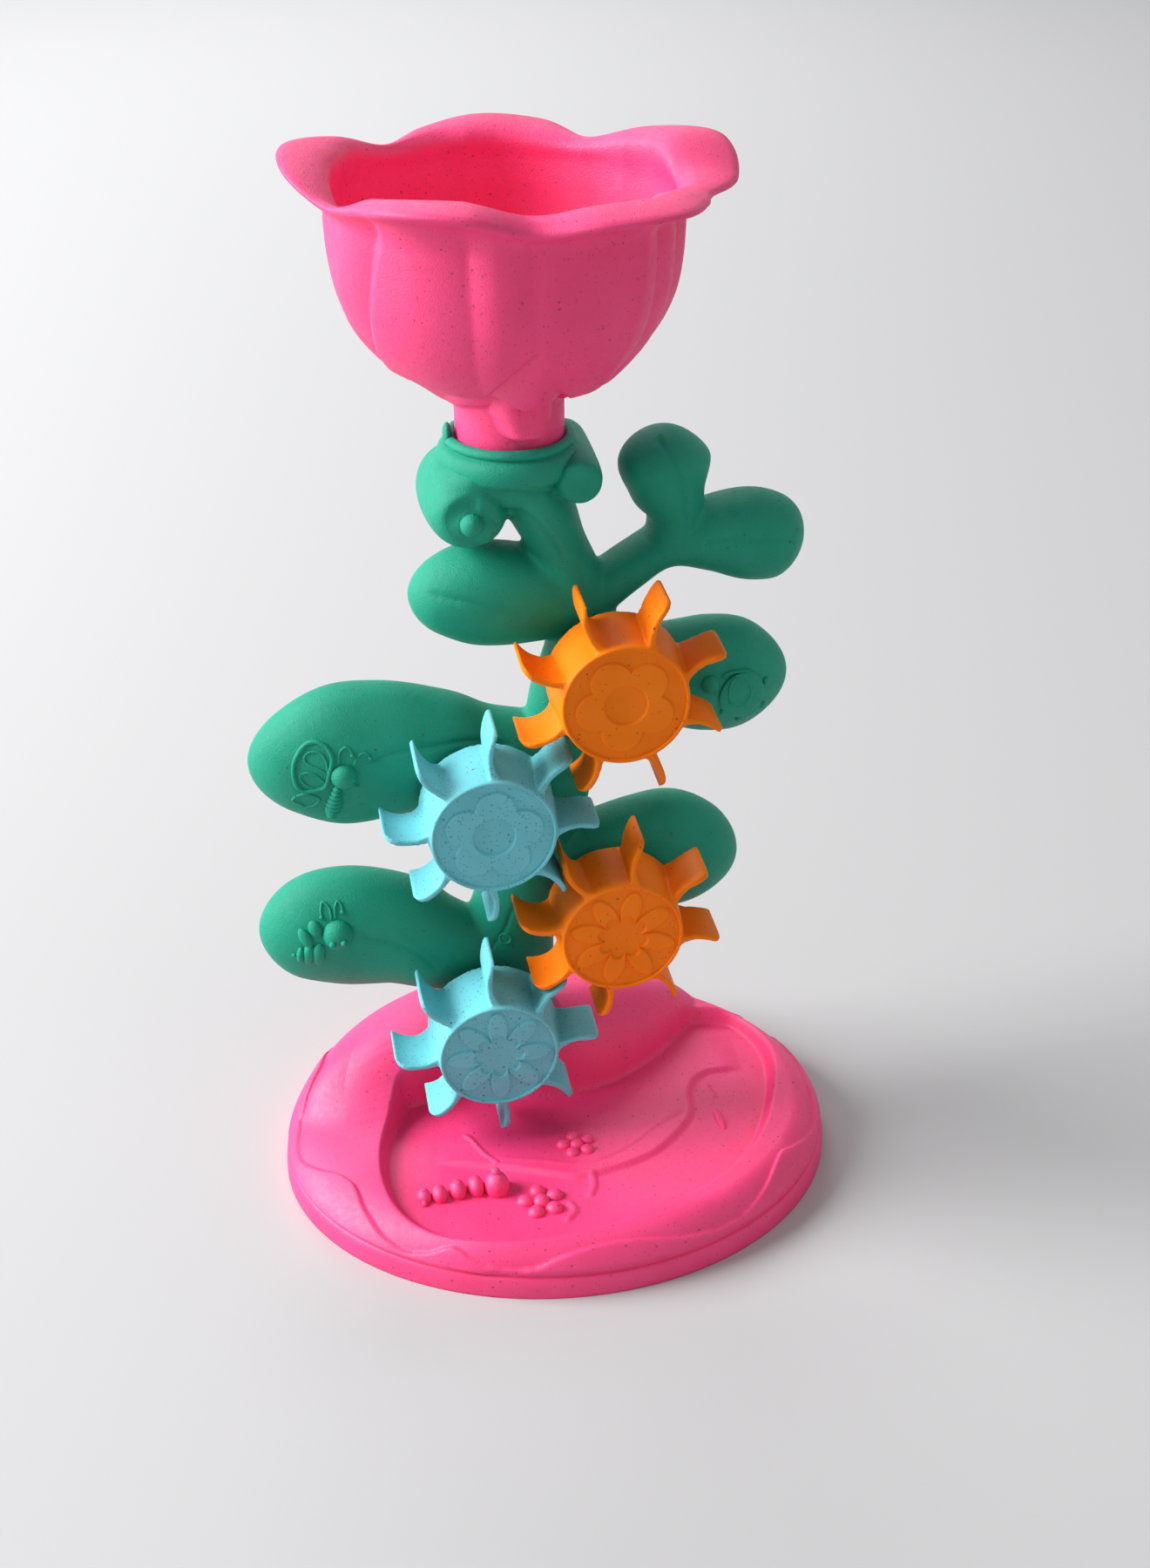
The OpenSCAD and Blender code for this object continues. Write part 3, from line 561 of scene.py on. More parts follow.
# Creases in the leaves, the ribbon line on the trunk and the turn of the curl, each a line over
# the front with its half width and depth; a minus depth stands proud
stem_lines = [
    ([(41.5, 303), (42.8, 300.4), (46.6, 294), (50.9, 279.5), (52, 270)], 2.4, 0.9),
    ([(58, 262.6), (62.6, 263.9), (73.3, 264.1), (94.2, 262)], 2.4, 0.9),
    ([(-44, 250.3), (-36.5, 248.7), (-30.8, 247.9), (-23.7, 245.7), (-15.9, 243), (-7, 239)], 3.0, 0.9),
    ([(-71.8, 184.4), (-60.6, 187.6), (-48.2, 188.3), (-31.3, 188.6), (-12, 184)], 2.4, 0.8),
    ([(-77.2, 106.9), (-64.5, 102.1), (-54.6, 95.2), (-46.1, 84.4)], 2.4, 0.8),
    ([(-24.9, 88.4), (-18.7, 98.1), (-15.7, 106.8), (-12, 116)], 1.8, 0.6),
    ([(34, 204), (46, 207), (58, 206)], 2.0, 0.6),
    ([(20, 126), (34, 127), (52, 125), (64, 121)], 2.2, 0.7),
    ([(-19, 286), (-10.6, 282.3), (-5.5, 279.3), (-1, 274), (2.9, 267.7), (6, 260)], 2.6, 1.0),
    ([(-25, 287.5), (-31, 287.4), (-35.6, 284.4), (-37.2, 279.8), (-35, 275.4), (-29.4, 273.2),
      (-22, 272.6)], 5.0, 1.4),
]
scored = bmesh.new()
scored.from_mesh(stem.data)


def front_gap(verts, lines):
    """For each line, how far the verts are from it over the front, in half widths."""
    flat = np.array([(v.co.x, v.co.z) for v in verts]) / mm
    facing = np.array([-v.normal.y for v in verts])
    near_front = np.array([v.co.y for v in verts]) / mm < stem_middle
    for points, width, depth in lines:
        gap, along = nearest(flat, smooth_curve(points, 8))
        fade = ease(np.minimum(along, 1 - along) / 0.12 + 0.05)
        yield np.where(near_front & (facing > 0.1), gap / width, 9), fade, depth


scored.verts.ensure_lookup_table()
verts = list(scored.verts)
close = np.zeros(len(verts), bool)
for gap, _, _ in front_gap(verts, stem_lines):
    close |= gap < 1.3
chosen = {verts[k] for k in np.nonzero(close)[0]}
bmesh.ops.subdivide_edges(
    scored, edges=[e for e in scored.edges if e.verts[0] in chosen and e.verts[1] in chosen],
    cuts=1, use_grid_fill=True,
)
scored.normal_update()
verts = list(scored.verts)
sunk = np.zeros(len(verts))
for (gap, fade, depth), (_, width, _) in zip(front_gap(verts, stem_lines), stem_lines):
    profile = np.clip(1 - gap, 0, 1) ** 1.6 if width < 4 else np.clip(1 - gap ** 2, 0, 1) ** 2
    sunk = np.where(np.abs(profile * fade * depth) > np.abs(sunk), profile * fade * depth, sunk)
for v, d in zip(verts, sunk):
    if d:
        v.co = v.co - v.normal * float(d) * mm
bmesh.ops.triangulate(scored, faces=[f for f in scored.faces if len(f.verts) > 4])
scored.to_mesh(stem.data)
scored.free()
stem.data.shade_smooth()

# The socket for the funnel's neck, bored down into the stem
bore_radius, bore_floor = 19.78, 290.0


def bored(piece, radius, centre, low, high):
    """Cuts a round hole along the vertical out of a piece."""
    drill_mesh = bmesh.new()
    round_bar(drill_mesh, (*centre, (low + high) / 2), (radius, radius), high - low)
    drill = placed("drill", drill_mesh)
    data = drill.data
    cutter = piece.modifiers.new("bore", "BOOLEAN")
    cutter.operation = "DIFFERENCE"
    cutter.solver = "EXACT"
    cutter.object = drill
    applied(piece)
    bpy.data.objects.remove(drill)
    bpy.data.meshes.remove(data)


bored(stem, bore_radius, collar_centre, bore_floor, 330.0)


def lathed(mesh, profile, steps=128):
    """A profile of radius and height spun round the upright axis through the origin."""
    made = [mesh.verts.new((r * mm, 0, z * mm)) for r, z in profile]
    edges = [mesh.edges.new(pair) for pair in zip(made, made[1:])]
    bmesh.ops.spin(
        mesh, geom=made + edges, cent=(0, 0, 0), axis=(0, 0, 1), angle=2 * math.pi,
        steps=steps, use_merge=True,
    )


# The collar round the socket: a narrow lip with a fine groove under it, then a fat bead,
# and a small nib on its left side
collar_mesh = bmesh.new()
collar_profile = smooth_curve([
    (19.8, 294.4), (19.8, 300.4), (19.8, 305.0), (20.4, 306.2), (21.8, 306.7), (23.2, 306.2),
    (23.9, 304.9), (23.7, 303.9), (23.2, 303.2), (23.8, 302.9), (25.3, 301.9), (26.4, 299.8),
    (26.6, 297.2), (26.0, 294.9), (24.8, 293.4), (23.2, 292.8), (22.4, 292.0), (21.8, 290.0),
    (20.0, 285.0), (12.0, 282.0), (0.0, 282.0),
], 4)
lathed(collar_mesh, collar_profile)
bmesh.ops.translate(collar_mesh, verts=collar_mesh.verts, vec=(*collar_centre * mm, 0))
bmesh.ops.remove_doubles(collar_mesh, verts=collar_mesh.verts, dist=1e-6)
bmesh.ops.holes_fill(collar_mesh, edges=collar_mesh.edges, sides=0)
bead(collar_mesh, (-34.0, 25.0, 306.5), (1.7, 3.4, 4.6), facets=(32, 20))
finished(collar_mesh, "stem_collar", "stand", stem_plastic)

# The end of the scroll: the rolled-in tip, a short rounded drum with a ball on its front. It is
# moulded with the stem and has the same grained green plastic.
roll_mesh = bmesh.new()
bead(roll_mesh, (-24.2, 9.0, 279.0), (7.4, 7.6, 6.4), facets=(64, 40))
bead(roll_mesh, (-28.6, 2.2, 280.8), (4.2, 4.2, 4.2), facets=(48, 32))
finished(roll_mesh, "scroll_end", "stand", stem_plastic)

# Small creatures moulded on the leaves and a ring on the trunk: domes for heads and backs, beads
# for bodies and thin rolls for wings, all of the stem's own plastic.
stem_front = BVHTree.FromObject(stem, bpy.context.evaluated_depsgraph_get())


def on_front(x, z, proud=0.0):
    """The place on the stem's front over a point, and the way out from it."""
    spot, normal, _, _ = stem_front.ray_cast(Vector((x, -80, z)) * mm, Vector((0, 1, 0)))
    return spot + normal * proud * mm, normal


def dome(mesh, x, z, radii, proud, lean=0.0):
    """An egg half sunk in the stem's front, leaning over it."""
    spot, normal = on_front(x, z, proud)
    face = (-normal).to_track_quat("Y", "Z").to_matrix().to_4x4()
    at = Matrix.Translation(spot) @ face @ Matrix.Rotation(lean, 4, "Y")
    at = at @ Matrix.Diagonal((*(r * mm for r in radii), 1))
    bmesh.ops.create_uvsphere(mesh, u_segments=32, v_segments=20, radius=1, matrix=at)


def roll_along(mesh, points, radius, closed=False, lift=0.0):
    """A thin half-sunk roll over the stem's front, as a chain of rings."""
    line = smooth_curve(points, 8, closed)
    if closed:
        line = np.vstack([line, line[:1]])
    rings = []
    spots = [on_front(x, z, lift) for x, z in line]
    for k, (spot, normal) in enumerate(spots):
        ahead = spots[min(k + 1, len(spots) - 1)][0]
        back = spots[max(k - 1, 0)][0]
        across = (ahead - back).cross(normal).normalized()
        thick = radius * (1.0 if closed else 0.35 + 0.65 * ease(min(k, len(spots) - 1 - k) / 3))
        rings.append([
            (spot + (across * math.cos(a) + normal * math.sin(a)) * thick * mm) / mm
            for a in np.arange(12) * math.pi / 6
        ])
    ring_stack(mesh, rings)


# Place across and up, three half widths, how far its centre stands proud, and its lean
domes = [
    (-78.9, 179.8, (5.1, 4.6, 5.1), -0.5), (-74.1, 176.6, (1.0, 1.0, 1.0), 2.2),
    (-85.2, 107.8, (6.2, 5.2, 6.2), -0.7), (-87.4, 105.6, (1.4, 1.4, 1.4), 4.2),
    (-83.0, 106.0, (1.4, 1.4, 1.4), 4.2), (-94.0, 110.6, (2.7, 1.9, 3.7), 0.0, -0.4),
    (-98.0, 106.6, (2.4, 1.9, 4.6), 0.0, -0.5), (-93.4, 99.4, (2.8, 2.3, 5.2), -0.1, 0.12),
    (-97.2, 99.2, (2.4, 2.3, 5.0), -0.1, 0.12), (-100.4, 98.8, (1.7, 2.3, 3.8), -0.1, 0.12),
    (-102.9, 98.4, (1.2, 0.9, 0.9), 0.2), (74.4, 200.4, (9.4, 1.7, 9.8), -0.4),
    (61.6, 206.6, (3.6, 2.4, 3.6), 0.0),
]
for k, across in enumerate((1.8, 2.2, 2.6, 3.0, 3.3, 3.4, 3.1, 2.2)):
    domes.append((-81.8 - 0.35 * k, 175.0 - 1.9 * k, (across, 2.6, 1.3), 0.0))
for x, z in ((84.4, 204.2), (83.6, 193.4), (74.2, 189.2), (67.4, 193.6)):
    domes.append((x, z, (1.5, 1.2, 1.5), 0.3))
leaf_mesh = bmesh.new()
for place in domes:
    dome(leaf_mesh, *place)
wings = [
    ([(-84.0, 182.4), (-83.0, 186.0), (-83.1, 188.9), (-84.9, 192.2), (-88.4, 193.7),
      (-92.1, 192.8), (-95.1, 189.5), (-97.1, 185.3), (-97.6, 180.4), (-96.5, 175.6),
      (-93.8, 173.5), (-90.2, 173.9), (-86.4, 175.3), (-85.0, 178.6)], 0.95),
    ([(-84.9, 181.3), (-87.6, 183.0), (-91.1, 184.8), (-93.2, 186.8), (-92.4, 189.1),
      (-89.9, 190.2), (-87.1, 189.7), (-85.5, 187.3), (-84.9, 184.3)], 0.55),
    ([(-85.8, 176.3), (-87.7, 174.6), (-90.5, 174.8), (-93.6, 176.7), (-95.3, 179.5),
      (-94.6, 181.2), (-91.7, 181.8), (-88.6, 180.1)], 0.55),
    ([(-98.6, 168.4), (-96.8, 171.0), (-93.1, 172.0), (-88.7, 169.9), (-90.5, 166.5),
      (-93.9, 165.3), (-96.0, 166.6)], 0.6),
]
for outline, thick in wings:
    roll_along(leaf_mesh, outline, thick, True)
feelers = [
    [(-80.5, 184.6), (-80.1, 189.3), (-77.7, 191.6), (-75.9, 190.6), (-75.3, 188.3)],
    [(-75.4, 184.0), (-72.6, 188.2), (-70.1, 188.8), (-68.7, 186.6)],
    [(-87.3, 113.6), (-87.7, 117.6), (-89.4, 119.8), (-90.6, 119.8), (-91.2, 117.4), (-91.2, 114.9)],
    [(-85.9, 113.8), (-85.6, 118.2), (-84.4, 120.2), (-83.1, 118.9), (-82.9, 116.4)],
]
for line in feelers:
    roll_along(leaf_mesh, line, 0.55)
    dome(leaf_mesh, *line[-1], (0.95, 0.9, 0.95), 0.2)
roll_along(leaf_mesh, [(66, 209), (70.2, 210.4), (77, 209.6), (81.6, 204.8), (82.8, 197.8),
                       (80.2, 192.2), (75.5, 190.4)], 0.8, False, 0.3)
roll_along(leaf_mesh, [(69.4, 198.7), (69.1, 206.3), (72.6, 208.4), (76.1, 206.2),
                       (77.4, 200.6), (73.6, 196.2)], 0.6, True, 1.1)
roll_along(leaf_mesh, [(72, 191.5), (74, 197), (78, 203), (80, 206.5)], 0.55, False, 1.0)
roll_along(leaf_mesh, [(-18.1 + 2.3 * math.cos(a), 94.6 + 2.3 * math.sin(a))
                       for a in np.arange(10) * math.pi / 5], 0.6, True)
bmesh.ops.holes_fill(leaf_mesh, edges=leaf_mesh.edges, sides=0)
finished(leaf_mesh, "leaf_reliefs", "stand", stem_plastic)

# The funnel: a cup of five lapping petals with a thick rolled lip, on a neck that drops into the
# stem's collar. A rounded tongue in front of the neck hides the chute. One grained pink moulding.
funnel_plastic = moulded_plastic("grained_pink", (1.0, 0.044, 0.215), 0.7, 1.2, 0.6)
neck_x, neck_y, cup_foot = -11.396, 26.0, 318.0
cup_radius, crease_depth, wall = 62.0, 3.2, 3.0
cup_height, lip_flare, lip_rise = 84.0, 15.0, 9.0
lip_z = cup_height - lip_rise
neck_radius, neck_low = 19.7, -28.0
lip_flares = [
    0.28, 0.90, 1.23, 0.80, 0.53, 1.21, 1.47, 0.84, 0.17, 0.91,
    0.77, 0.41, 0.05, 0.38, 0.95, 0.79, 0.26, 0.21, 0.80, 0.73,
]
lip_rises = [
    0.03, 0.38, 0.43, 0.21, -0.10, -0.06, 0.82, 0.73, 0.17, 0.50,
    0.76, 0.52, 0.21, 0.92, 1.12, 0.77, 0.00, 0.29, 0.76, 0.69,
]
lip_crests = [
    1.3, 1.0, 0.7, 0.8, 0.5, 0.6, 0.4, 0, 0, -0.3,
    -0.5, -0.3, 0, -0.5, -0.7, -0.8, -0.4, 0.7, 0.5, 0.8,
]
# Folds in the wall: degrees round from the front, reach to the left and right in degrees, depth
# at the bottom and at the lip, and how far the fold slants on its way up
folds = [
    (-62.7, 17, 6, 4.3, 4.0, 23), (-18.5, 19, 9, 1.0, 2.9, -3), (2, 8, 8, 0.2, 0.6, -4),
    (38.5, 8, 7, -0.5, -1.3, 0), (48, 6, 11, 1.8, 2.2, 0), (66, 12, 9, 2.6, 2.6, 0),
    (126, 12, 12, 1.5, 1.3, 0), (186, 12, 12, 1.5, 1.3, 0), (246, 12, 12, 1.5, 1.3, 0),
]
# The petals' lower edge: degrees round from the front and height above the cup's foot
petal_edge = np.array([
    (-67, 24), (-60, 20.5), (-45, 18.5), (-25, 14.5), (-19, 15), (-14, 17.5), (-8, 23.5), (-3, 28.5),
    (0, 32), (3.4, 35.5), (5.5, 33), (8, 27.5), (13, 20.5), (18, 15.8), (28, 10), (40, 2),
    (48, -6), (62, -6), (69, 8), (74, 22), (78, 30), (80, 33), (84, 29), (90, 20), (97, 14), (120, 13.5),
    (131, 17), (138, 24), (143, 31), (147, 35), (151, 31), (156, 24), (163, 17), (175, 13.5),
    (193, 13.5), (203, 17), (210, 24), (215, 31), (219, 35), (223, 31), (228, 24), (235, 17),
    (245, 17), (255, 20), (270, 30), (282, 34), (291, 27),
], float)
petal_lap, petal_swell, foot_lift = 2.6, 1.2, 4.2
# Stations from the neck's foot up outside and down inside: radius, shares of the folds and of
# the flare, height, shares of the rise and of the crest, and 1 where the petals stand proud
neck_profile = [
    (0, neck_low), (9, neck_low), (18.4, neck_low), (neck_radius - 0.3, neck_low + 0.5),
    (neck_radius, neck_low + 2), (neck_radius, -16), (neck_radius, -8), (neck_radius, -3),
]
profile = [(r, 0, 0, h, 0, 0, 0) for r, h in neck_profile]
profile += [(neck_radius + 0.3, 0, 0, -0.6, 0, 0, 0.3), (cup_radius * 0.35, 0, 0, 0.8, 0, 0, 1)]
wall_stations = [
    (0.035, 0.405, 0.05), (0.095, 0.50, 0.2), (0.20, 0.67, 0.6), (0.36, 0.84, 0.8),
    (0.53, 0.94, 0.9), (0.69, 0.985, 1), (0.84, 1, 1), (0.93, 1.005, 1.1),
]
profile += [(r * cup_radius, c, 0, h * lip_z, 0, 0, 1) for h, r, c in wall_stations]
half = wall / 2
profile += [
    (cup_radius, 0.7, 0.30, lip_z - wall, 0.7, 0, 0), (cup_radius, 0.3, 0.75, lip_z - half, 0.9, 0, 0),
    (cup_radius, 0, 1.0, lip_z - half / 3, 1, 0, 0), (cup_radius, 0, 1.03, lip_z + half * 0.35, 1, 0.1, 0),
    (cup_radius, 0, 0.98, lip_z + half * 0.85, 1, 0.25, 0),
    (cup_radius - half, 0, 0.7, lip_z + half * 1.2, 1, half, 0),
    (cup_radius - half, 0.5, 0.3, lip_z + half, 1, wall, 0),
    (cup_radius - wall, 0.8, 0, lip_z - half, 0.9, wall, 0),
]
profile += [
    (r * cup_radius - wall, 0.6 * c, 0, h * lip_z + wall * (1 - h), 0, 0, 0)
    for h, r, c in reversed(wall_stations[1:])
]
profile += [(14, 0, 0, 5.0, 0, 0, 0), (0, 0, 0, 4.6, 0, 0, 0)]
fine = smooth_curve(profile, 24)
fine[:, 0] = np.clip(fine[:, 0], 0, None)
steps = lengths(np.diff(fine[:, [0, 3]], axis=0))
low_wall = (fine[:-1, 3] > -9) & (fine[:-1, 3] < 42) & (fine[:-1, 6] > 0)
foot_zone = (fine[:-1, 3] > -9.5) & (fine[:-1, 3] < -2) & (fine[:-1, 0] < neck_radius + 1)
spacing = np.where(foot_zone, 0.32, np.where(low_wall, 0.68, 1.5))
spacing = np.where((fine[:-1, 2] > 0.01) | (fine[:-1, 5] > 0.01), 0.75, spacing)
spacing = np.where(fine[:-1, 3] < -10, 2.6, spacing)
count = np.concatenate([[0], np.cumsum(steps / spacing)])
cup_rows = int(count[-1]) + 1
picks = np.linspace(0, count[-1], cup_rows)
rows = np.column_stack([np.interp(picks, count, fine[:, k]) for k in range(7)])
cup_around = 330
turned = 360 * np.arange(cup_around) / cup_around


def round_the_lip(shares):
    """Shares that stand evenly round the lip from the front, at every place round."""
    table = smooth_curve(np.array(shares)[:, None], 24, True)[:, 0]
    return np.interp(turned, np.arange(len(table)) * 360 / len(table), table, period=360)


flares, rises, crests = (round_the_lip(t) for t in (lip_flares, lip_rises, lip_crests))
radius, crease, flare, z, rise, crest, skin = (rows[:, k:k + 1] for k in range(7))
drawn = np.zeros((cup_rows, cup_around))
up = np.clip(z / lip_z, 0, 1)
for place, left_reach, right_reach, low_depth, lip_depth, slant in folds:
    off = (turned[None, :] - place - slant * (up - 0.5) + 180) % 360 - 180
    v = np.clip(1 - np.where(off < 0, -off / left_reach, off / right_reach), 0, 1)
    drawn += (low_depth + (lip_depth - low_depth) * up) * v ** 1.5
petal_round = 0.35 * crease_depth * (1 - np.abs(np.sin(np.radians(2.5 * turned))))
r = radius - crease * (drawn + petal_round) + lip_flare * flare * flares
height = z + lip_rise * rise * rises + crest * crests

# The petals stand proud of the cup's foot above their lower edge, except far to the left, and
# meet in a ridge in front
edge = np.interp((turned + 67) % 360 - 67, petal_edge[:, 0], petal_edge[:, 1], period=360)
tangent = np.gradient(rows[:, [0, 3]], axis=0)
tangent /= lengths(tangent)[:, None]
ridge_turn, calm_turn = 5.5, -88
from_ridge = np.abs((turned - ridge_turn + 180) % 360 - 180) / (27 - 15 * ease((z - 4) / 28))
ridge = (1 - ease(from_ridge)) * (6.2 - 2.8 * ease((z - 8) / 26))
on_petal = ease((z - edge + 0.8) / 1.8)
swell = petal_swell * (1 - ease((z - 30) / 34))
under = (petal_lap - ridge) * (1 - on_petal) - swell * on_petal
calm = 1 - np.exp(-(((turned - calm_turn + 180) % 360 - 180) / 14) ** 2)
under = under * skin * calm * ease((radius - 21.0) / 5)
r = r - under * tangent[:, 1:2]
height = height + under * tangent[:, 0:1]
lift = 1.2 + np.sin(np.radians(turned))
lift += foot_lift * np.clip(np.cos(np.radians(turned)), 0, 1) ** 1.5
outer_skin = (np.arange(cup_rows) < np.argmax(rows[:, 2] > 0.01))[:, None]
height = height + lift * ease((z + 15) / 14) * (1 - ease((z - 1) / 13)) * outer_skin

# The tongue in front of the neck: upright in front, narrower and rounded at its foot
tongue_turn = 6.7
tongue_front, tongue_half = 28.4, 11.6
off = np.radians((turned[None, :] - tongue_turn + 180) % 360 - 180)
drop = np.clip((4.0 - height) / 11.0, 0, 1.2)
front = tongue_front - 9.5 * np.clip((drop - 0.72) / 0.34, 0, 1) ** 2.2
wide = tongue_half * (1 - 0.36 * drop ** 1.6)
tongue = 1 / ((np.clip(np.cos(off), 0.02, 1) / front) ** 3.4
              + (np.abs(np.sin(off)) / wide) ** 3.4) ** (1 / 3.4)
tongue = np.where((np.abs(off) < 1.2) & (drop < 1.18), tongue, 0)
blend = soft_max(r, tongue, 0.9)
r = np.where(outer_skin & (height > -9.5) & (height < 14) & (tongue > r - 0.9), blend, r)

# The wall leans a little to the left low down
lean = -1.1 * np.exp(-((height - 22) / 16) ** 2) * (height > 1)
a = np.radians(turned - 90)
x = neck_x + r * np.cos(a) + lean
y = neck_y + r * np.sin(a)
cup_mesh = bmesh.new()
ring_stack(cup_mesh, np.stack([x, y, cup_foot + height], axis=2))
bmesh.ops.holes_fill(cup_mesh, edges=cup_mesh.edges, sides=0)
cup = finished(cup_mesh, "petal_funnel", "hopper", funnel_plastic, ["funnel"])
chute_radius = 3.5
bored(cup, chute_radius, (neck_x + 1.6, neck_y - 23.2), 300.0, 350.0)

# The four wheels: drums with eight scooped paddles, open at the back, each with a flower in low
# relief on its face. Moulded in orange and turquoise plastic, smoother than the stem.
orange_plastic = moulded_plastic("smooth_orange", (0.98, 0.21, 0.001), 0.12, 0.7, 0.15)
turquoise_plastic = moulded_plastic("smooth_turquoise", (0.155, 0.555, 0.625), 0.12, 2.8, 0.15)
wheel_back = 6.0
face_radius, wheel_length, drum_taper, drum_wall = 24.0, 26.4, 2.0, 2.2
rim_width, field_depth = 1.7, 1.35
paddles, paddle_radius, paddle_thick, scoop = 8, 41.3, 2.2, 2.3
hub_radius, hub_bore = 8.0, 4.1
field = wheel_length - field_depth
inner = field - drum_wall
drum_profile = [
    (0, inner), (hub_bore, inner), (hub_bore, 0.0), (hub_radius, 0.0), (hub_radius, inner),
    (face_radius - drum_wall, inner), (face_radius + drum_taper - drum_wall, 0.0),
    (face_radius + drum_taper, 0.0), (face_radius, wheel_length - 1.2),
    (face_radius - 0.15, wheel_length - 0.4), (face_radius - 0.5, wheel_length + 0.1),
    (face_radius - rim_width + 0.3, wheel_length), (face_radius - rim_width, field - 0.5),
    (0, field - 0.5),
]


def paddle_reach(share):
    """Back and front end of a paddle at a share of the way out to its tip."""
    shares = [0, 0.18, 0.35, 0.6, 0.85, 0.96, 1.0]
    back = [0, 0.07, 0.13, 0.12, 0.07, 0.03, 0.05]
    low = np.interp(share, shares, back) * wheel_length
    out = np.clip((share - 0.66) / 0.34, 0, 1)
    high = field - 1.0 * np.clip(share, 0, 1) ** 0.5 - 7.0 * (1 - np.sqrt(1 - 0.96 * out ** 2.6))
    return low, high


wheel_mesh = bmesh.new()
lathed(wheel_mesh, drum_profile, 160)
bmesh.ops.remove_doubles(wheel_mesh, verts=wheel_mesh.verts, dist=1e-6)
root = face_radius - drum_wall / 2
span = paddle_radius - face_radius
bend = span * span / (8 * scoop) + scoop / 2
blade = bmesh.new()
bmesh.ops.create_cube(blade, size=1.0)
bmesh.ops.subdivide_edges(blade, edges=blade.edges, cuts=22, use_grid_fill=True)
for v in blade.verts:
    out = v.co.x + 0.5
    reach = root + (paddle_radius - root) * out
    low, high = paddle_reach((reach - face_radius) / span)
    middle = scoop - bend + math.sqrt(bend ** 2 - (reach - face_radius - span / 2) ** 2)
    thick = paddle_thick / 2 * (1 + 1.9 * math.exp(-(reach - root) / 1.7))
    thick *= math.sqrt(max(1 - max(0.0, (out - 0.94) / 0.06) ** 2 * 0.75, 0.05))
    side = middle + thick * v.co.y * 2
    v.co = Vector((reach, side, low + (high - low) * (v.co.z + 0.5))) * mm
blade_data = bpy.data.meshes.new("paddle_blank")
one_on = Matrix.Rotation(2 * math.pi / paddles, 3, "Z")
for _ in range(paddles):
    bmesh.ops.rotate(blade, verts=blade.verts, cent=(0, 0, 0), matrix=one_on)
    blade.to_mesh(blade_data)
    wheel_mesh.from_mesh(blade_data)
blade.free()
bpy.data.meshes.remove(blade_data)
bmesh.ops.recalc_face_normals(wheel_mesh, faces=wheel_mesh.faces)
blank_wheel = placed("wheel_pattern", wheel_mesh)
melted(blank_wheel, 0.57, 3)


def round_flower(p, turn):
    """How far inside the raised five-petalled flower a place on the face is."""
    petal_centre, petal_radius, heart_radius = 11.2, 7.8, 8.0
    best = np.full(len(p), -99.0)
    for k in range(5):
        a = math.radians(turn + 72 * k)
        lobe = np.array([petal_centre * math.cos(a), petal_centre * math.sin(a)])
        best = np.maximum(best, petal_radius - lengths(p - lobe))
    return np.minimum(best, lengths(p) - heart_radius)


def daisy(p, turn):
    """How far inside the raised eight-petalled daisy a place on the face is."""
    reach = lengths(p)
    best = np.full(len(p), -99.0)
    hollow = 7.4 - reach
    for k in range(8):
        a = math.radians(turn + 45 * k)
        out = np.array([math.cos(a), math.sin(a)])
        along = p @ out
        across = np.abs(p @ np.array([-out[1], out[0]]))
        share = np.clip((along - 13.0) / 8.0, 0, 1)
        wide = np.where(along < 13, 2.9 + 1.1 * ease((along - 6) / 7), 4.0 * np.sqrt(1 - share ** 2))
        petal = np.where(along > 4, wide - across, -9) * np.where(share > 0.8, 0.6, 1)
        best = np.maximum(best, petal)
        hollow = np.maximum(hollow, 2.6 - lengths(p - 7.5 * out))
    return np.minimum(best, -hollow)


def face_disc(mesh, flower, turn):
    """The wheel's face: a thin disc with the flower standing proud of it."""
    around, rings = 300, 78
    share = np.linspace(0, 1, rings)
    disc_radius = face_radius - rim_width + 0.1
    reach = np.concatenate([share * disc_radius, [disc_radius, 0]])
    level = np.concatenate([np.full(rings, field), [field - 0.8, field - 0.8]])
    a = 2 * math.pi * np.arange(around) / around
    x, y = reach[:, None] * np.cos(a), reach[:, None] * np.sin(a)
    depth = flower(np.column_stack([x.ravel(), y.ravel()]), turn).reshape(x.shape)
    top = (np.arange(rings + 2) < rings)[:, None]
    up = 1.05 * ease((depth + 0.25) / 0.5) * top
    edge_fillet = 0.25 * ease((reach[:, None] - face_radius + rim_width + 0.5) / 0.6) * top
    ring_stack(mesh, np.stack([x, y, level[:, None] + up + edge_fillet], axis=2))


wheels = [
    ("wheel_top", orange_plastic, 21.0, round_flower, 119.0),
    ("wheel_second", turquoise_plastic, -3.0, round_flower, 86.0),
    ("wheel_third", orange_plastic, 33.0, daisy, 31.5),
    ("wheel_bottom", turquoise_plastic, 1.5, daisy, 1.5),
]
for number, (node, colour, turn, flower, flower_turn) in enumerate(wheels):
    copy = bmesh.new()
    copy.from_mesh(blank_wheel.data)
    bmesh.ops.rotate(
        copy, verts=copy.verts, cent=(0, 0, 0), matrix=Matrix.Rotation(math.radians(turn), 3, "Z")
    )
    face_disc(copy, flower, flower_turn)
    forward = Matrix.Rotation(math.pi / 2, 4, "X")
    bmesh.ops.transform(copy, matrix=forward, verts=copy.verts)
    x, z = boss_places[number]
    bmesh.ops.translate(copy, verts=copy.verts, vec=Vector((x, wheel_back, z)) * mm)
    finished(copy, f"paddle_{node}", f"wheel_{number + 1}", colour, [node])
bpy.data.objects.remove(blank_wheel)

# The axle pins: plain pins with a domed head behind the stem, one for each wheel. They keep the
# solids' own shapes and have the plastic of their wheels.
for node, colour, *_ in wheels:
    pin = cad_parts[node.replace("wheel", "pin")]
    pin.data.materials.clear()
    pin.data.materials.append(colour)

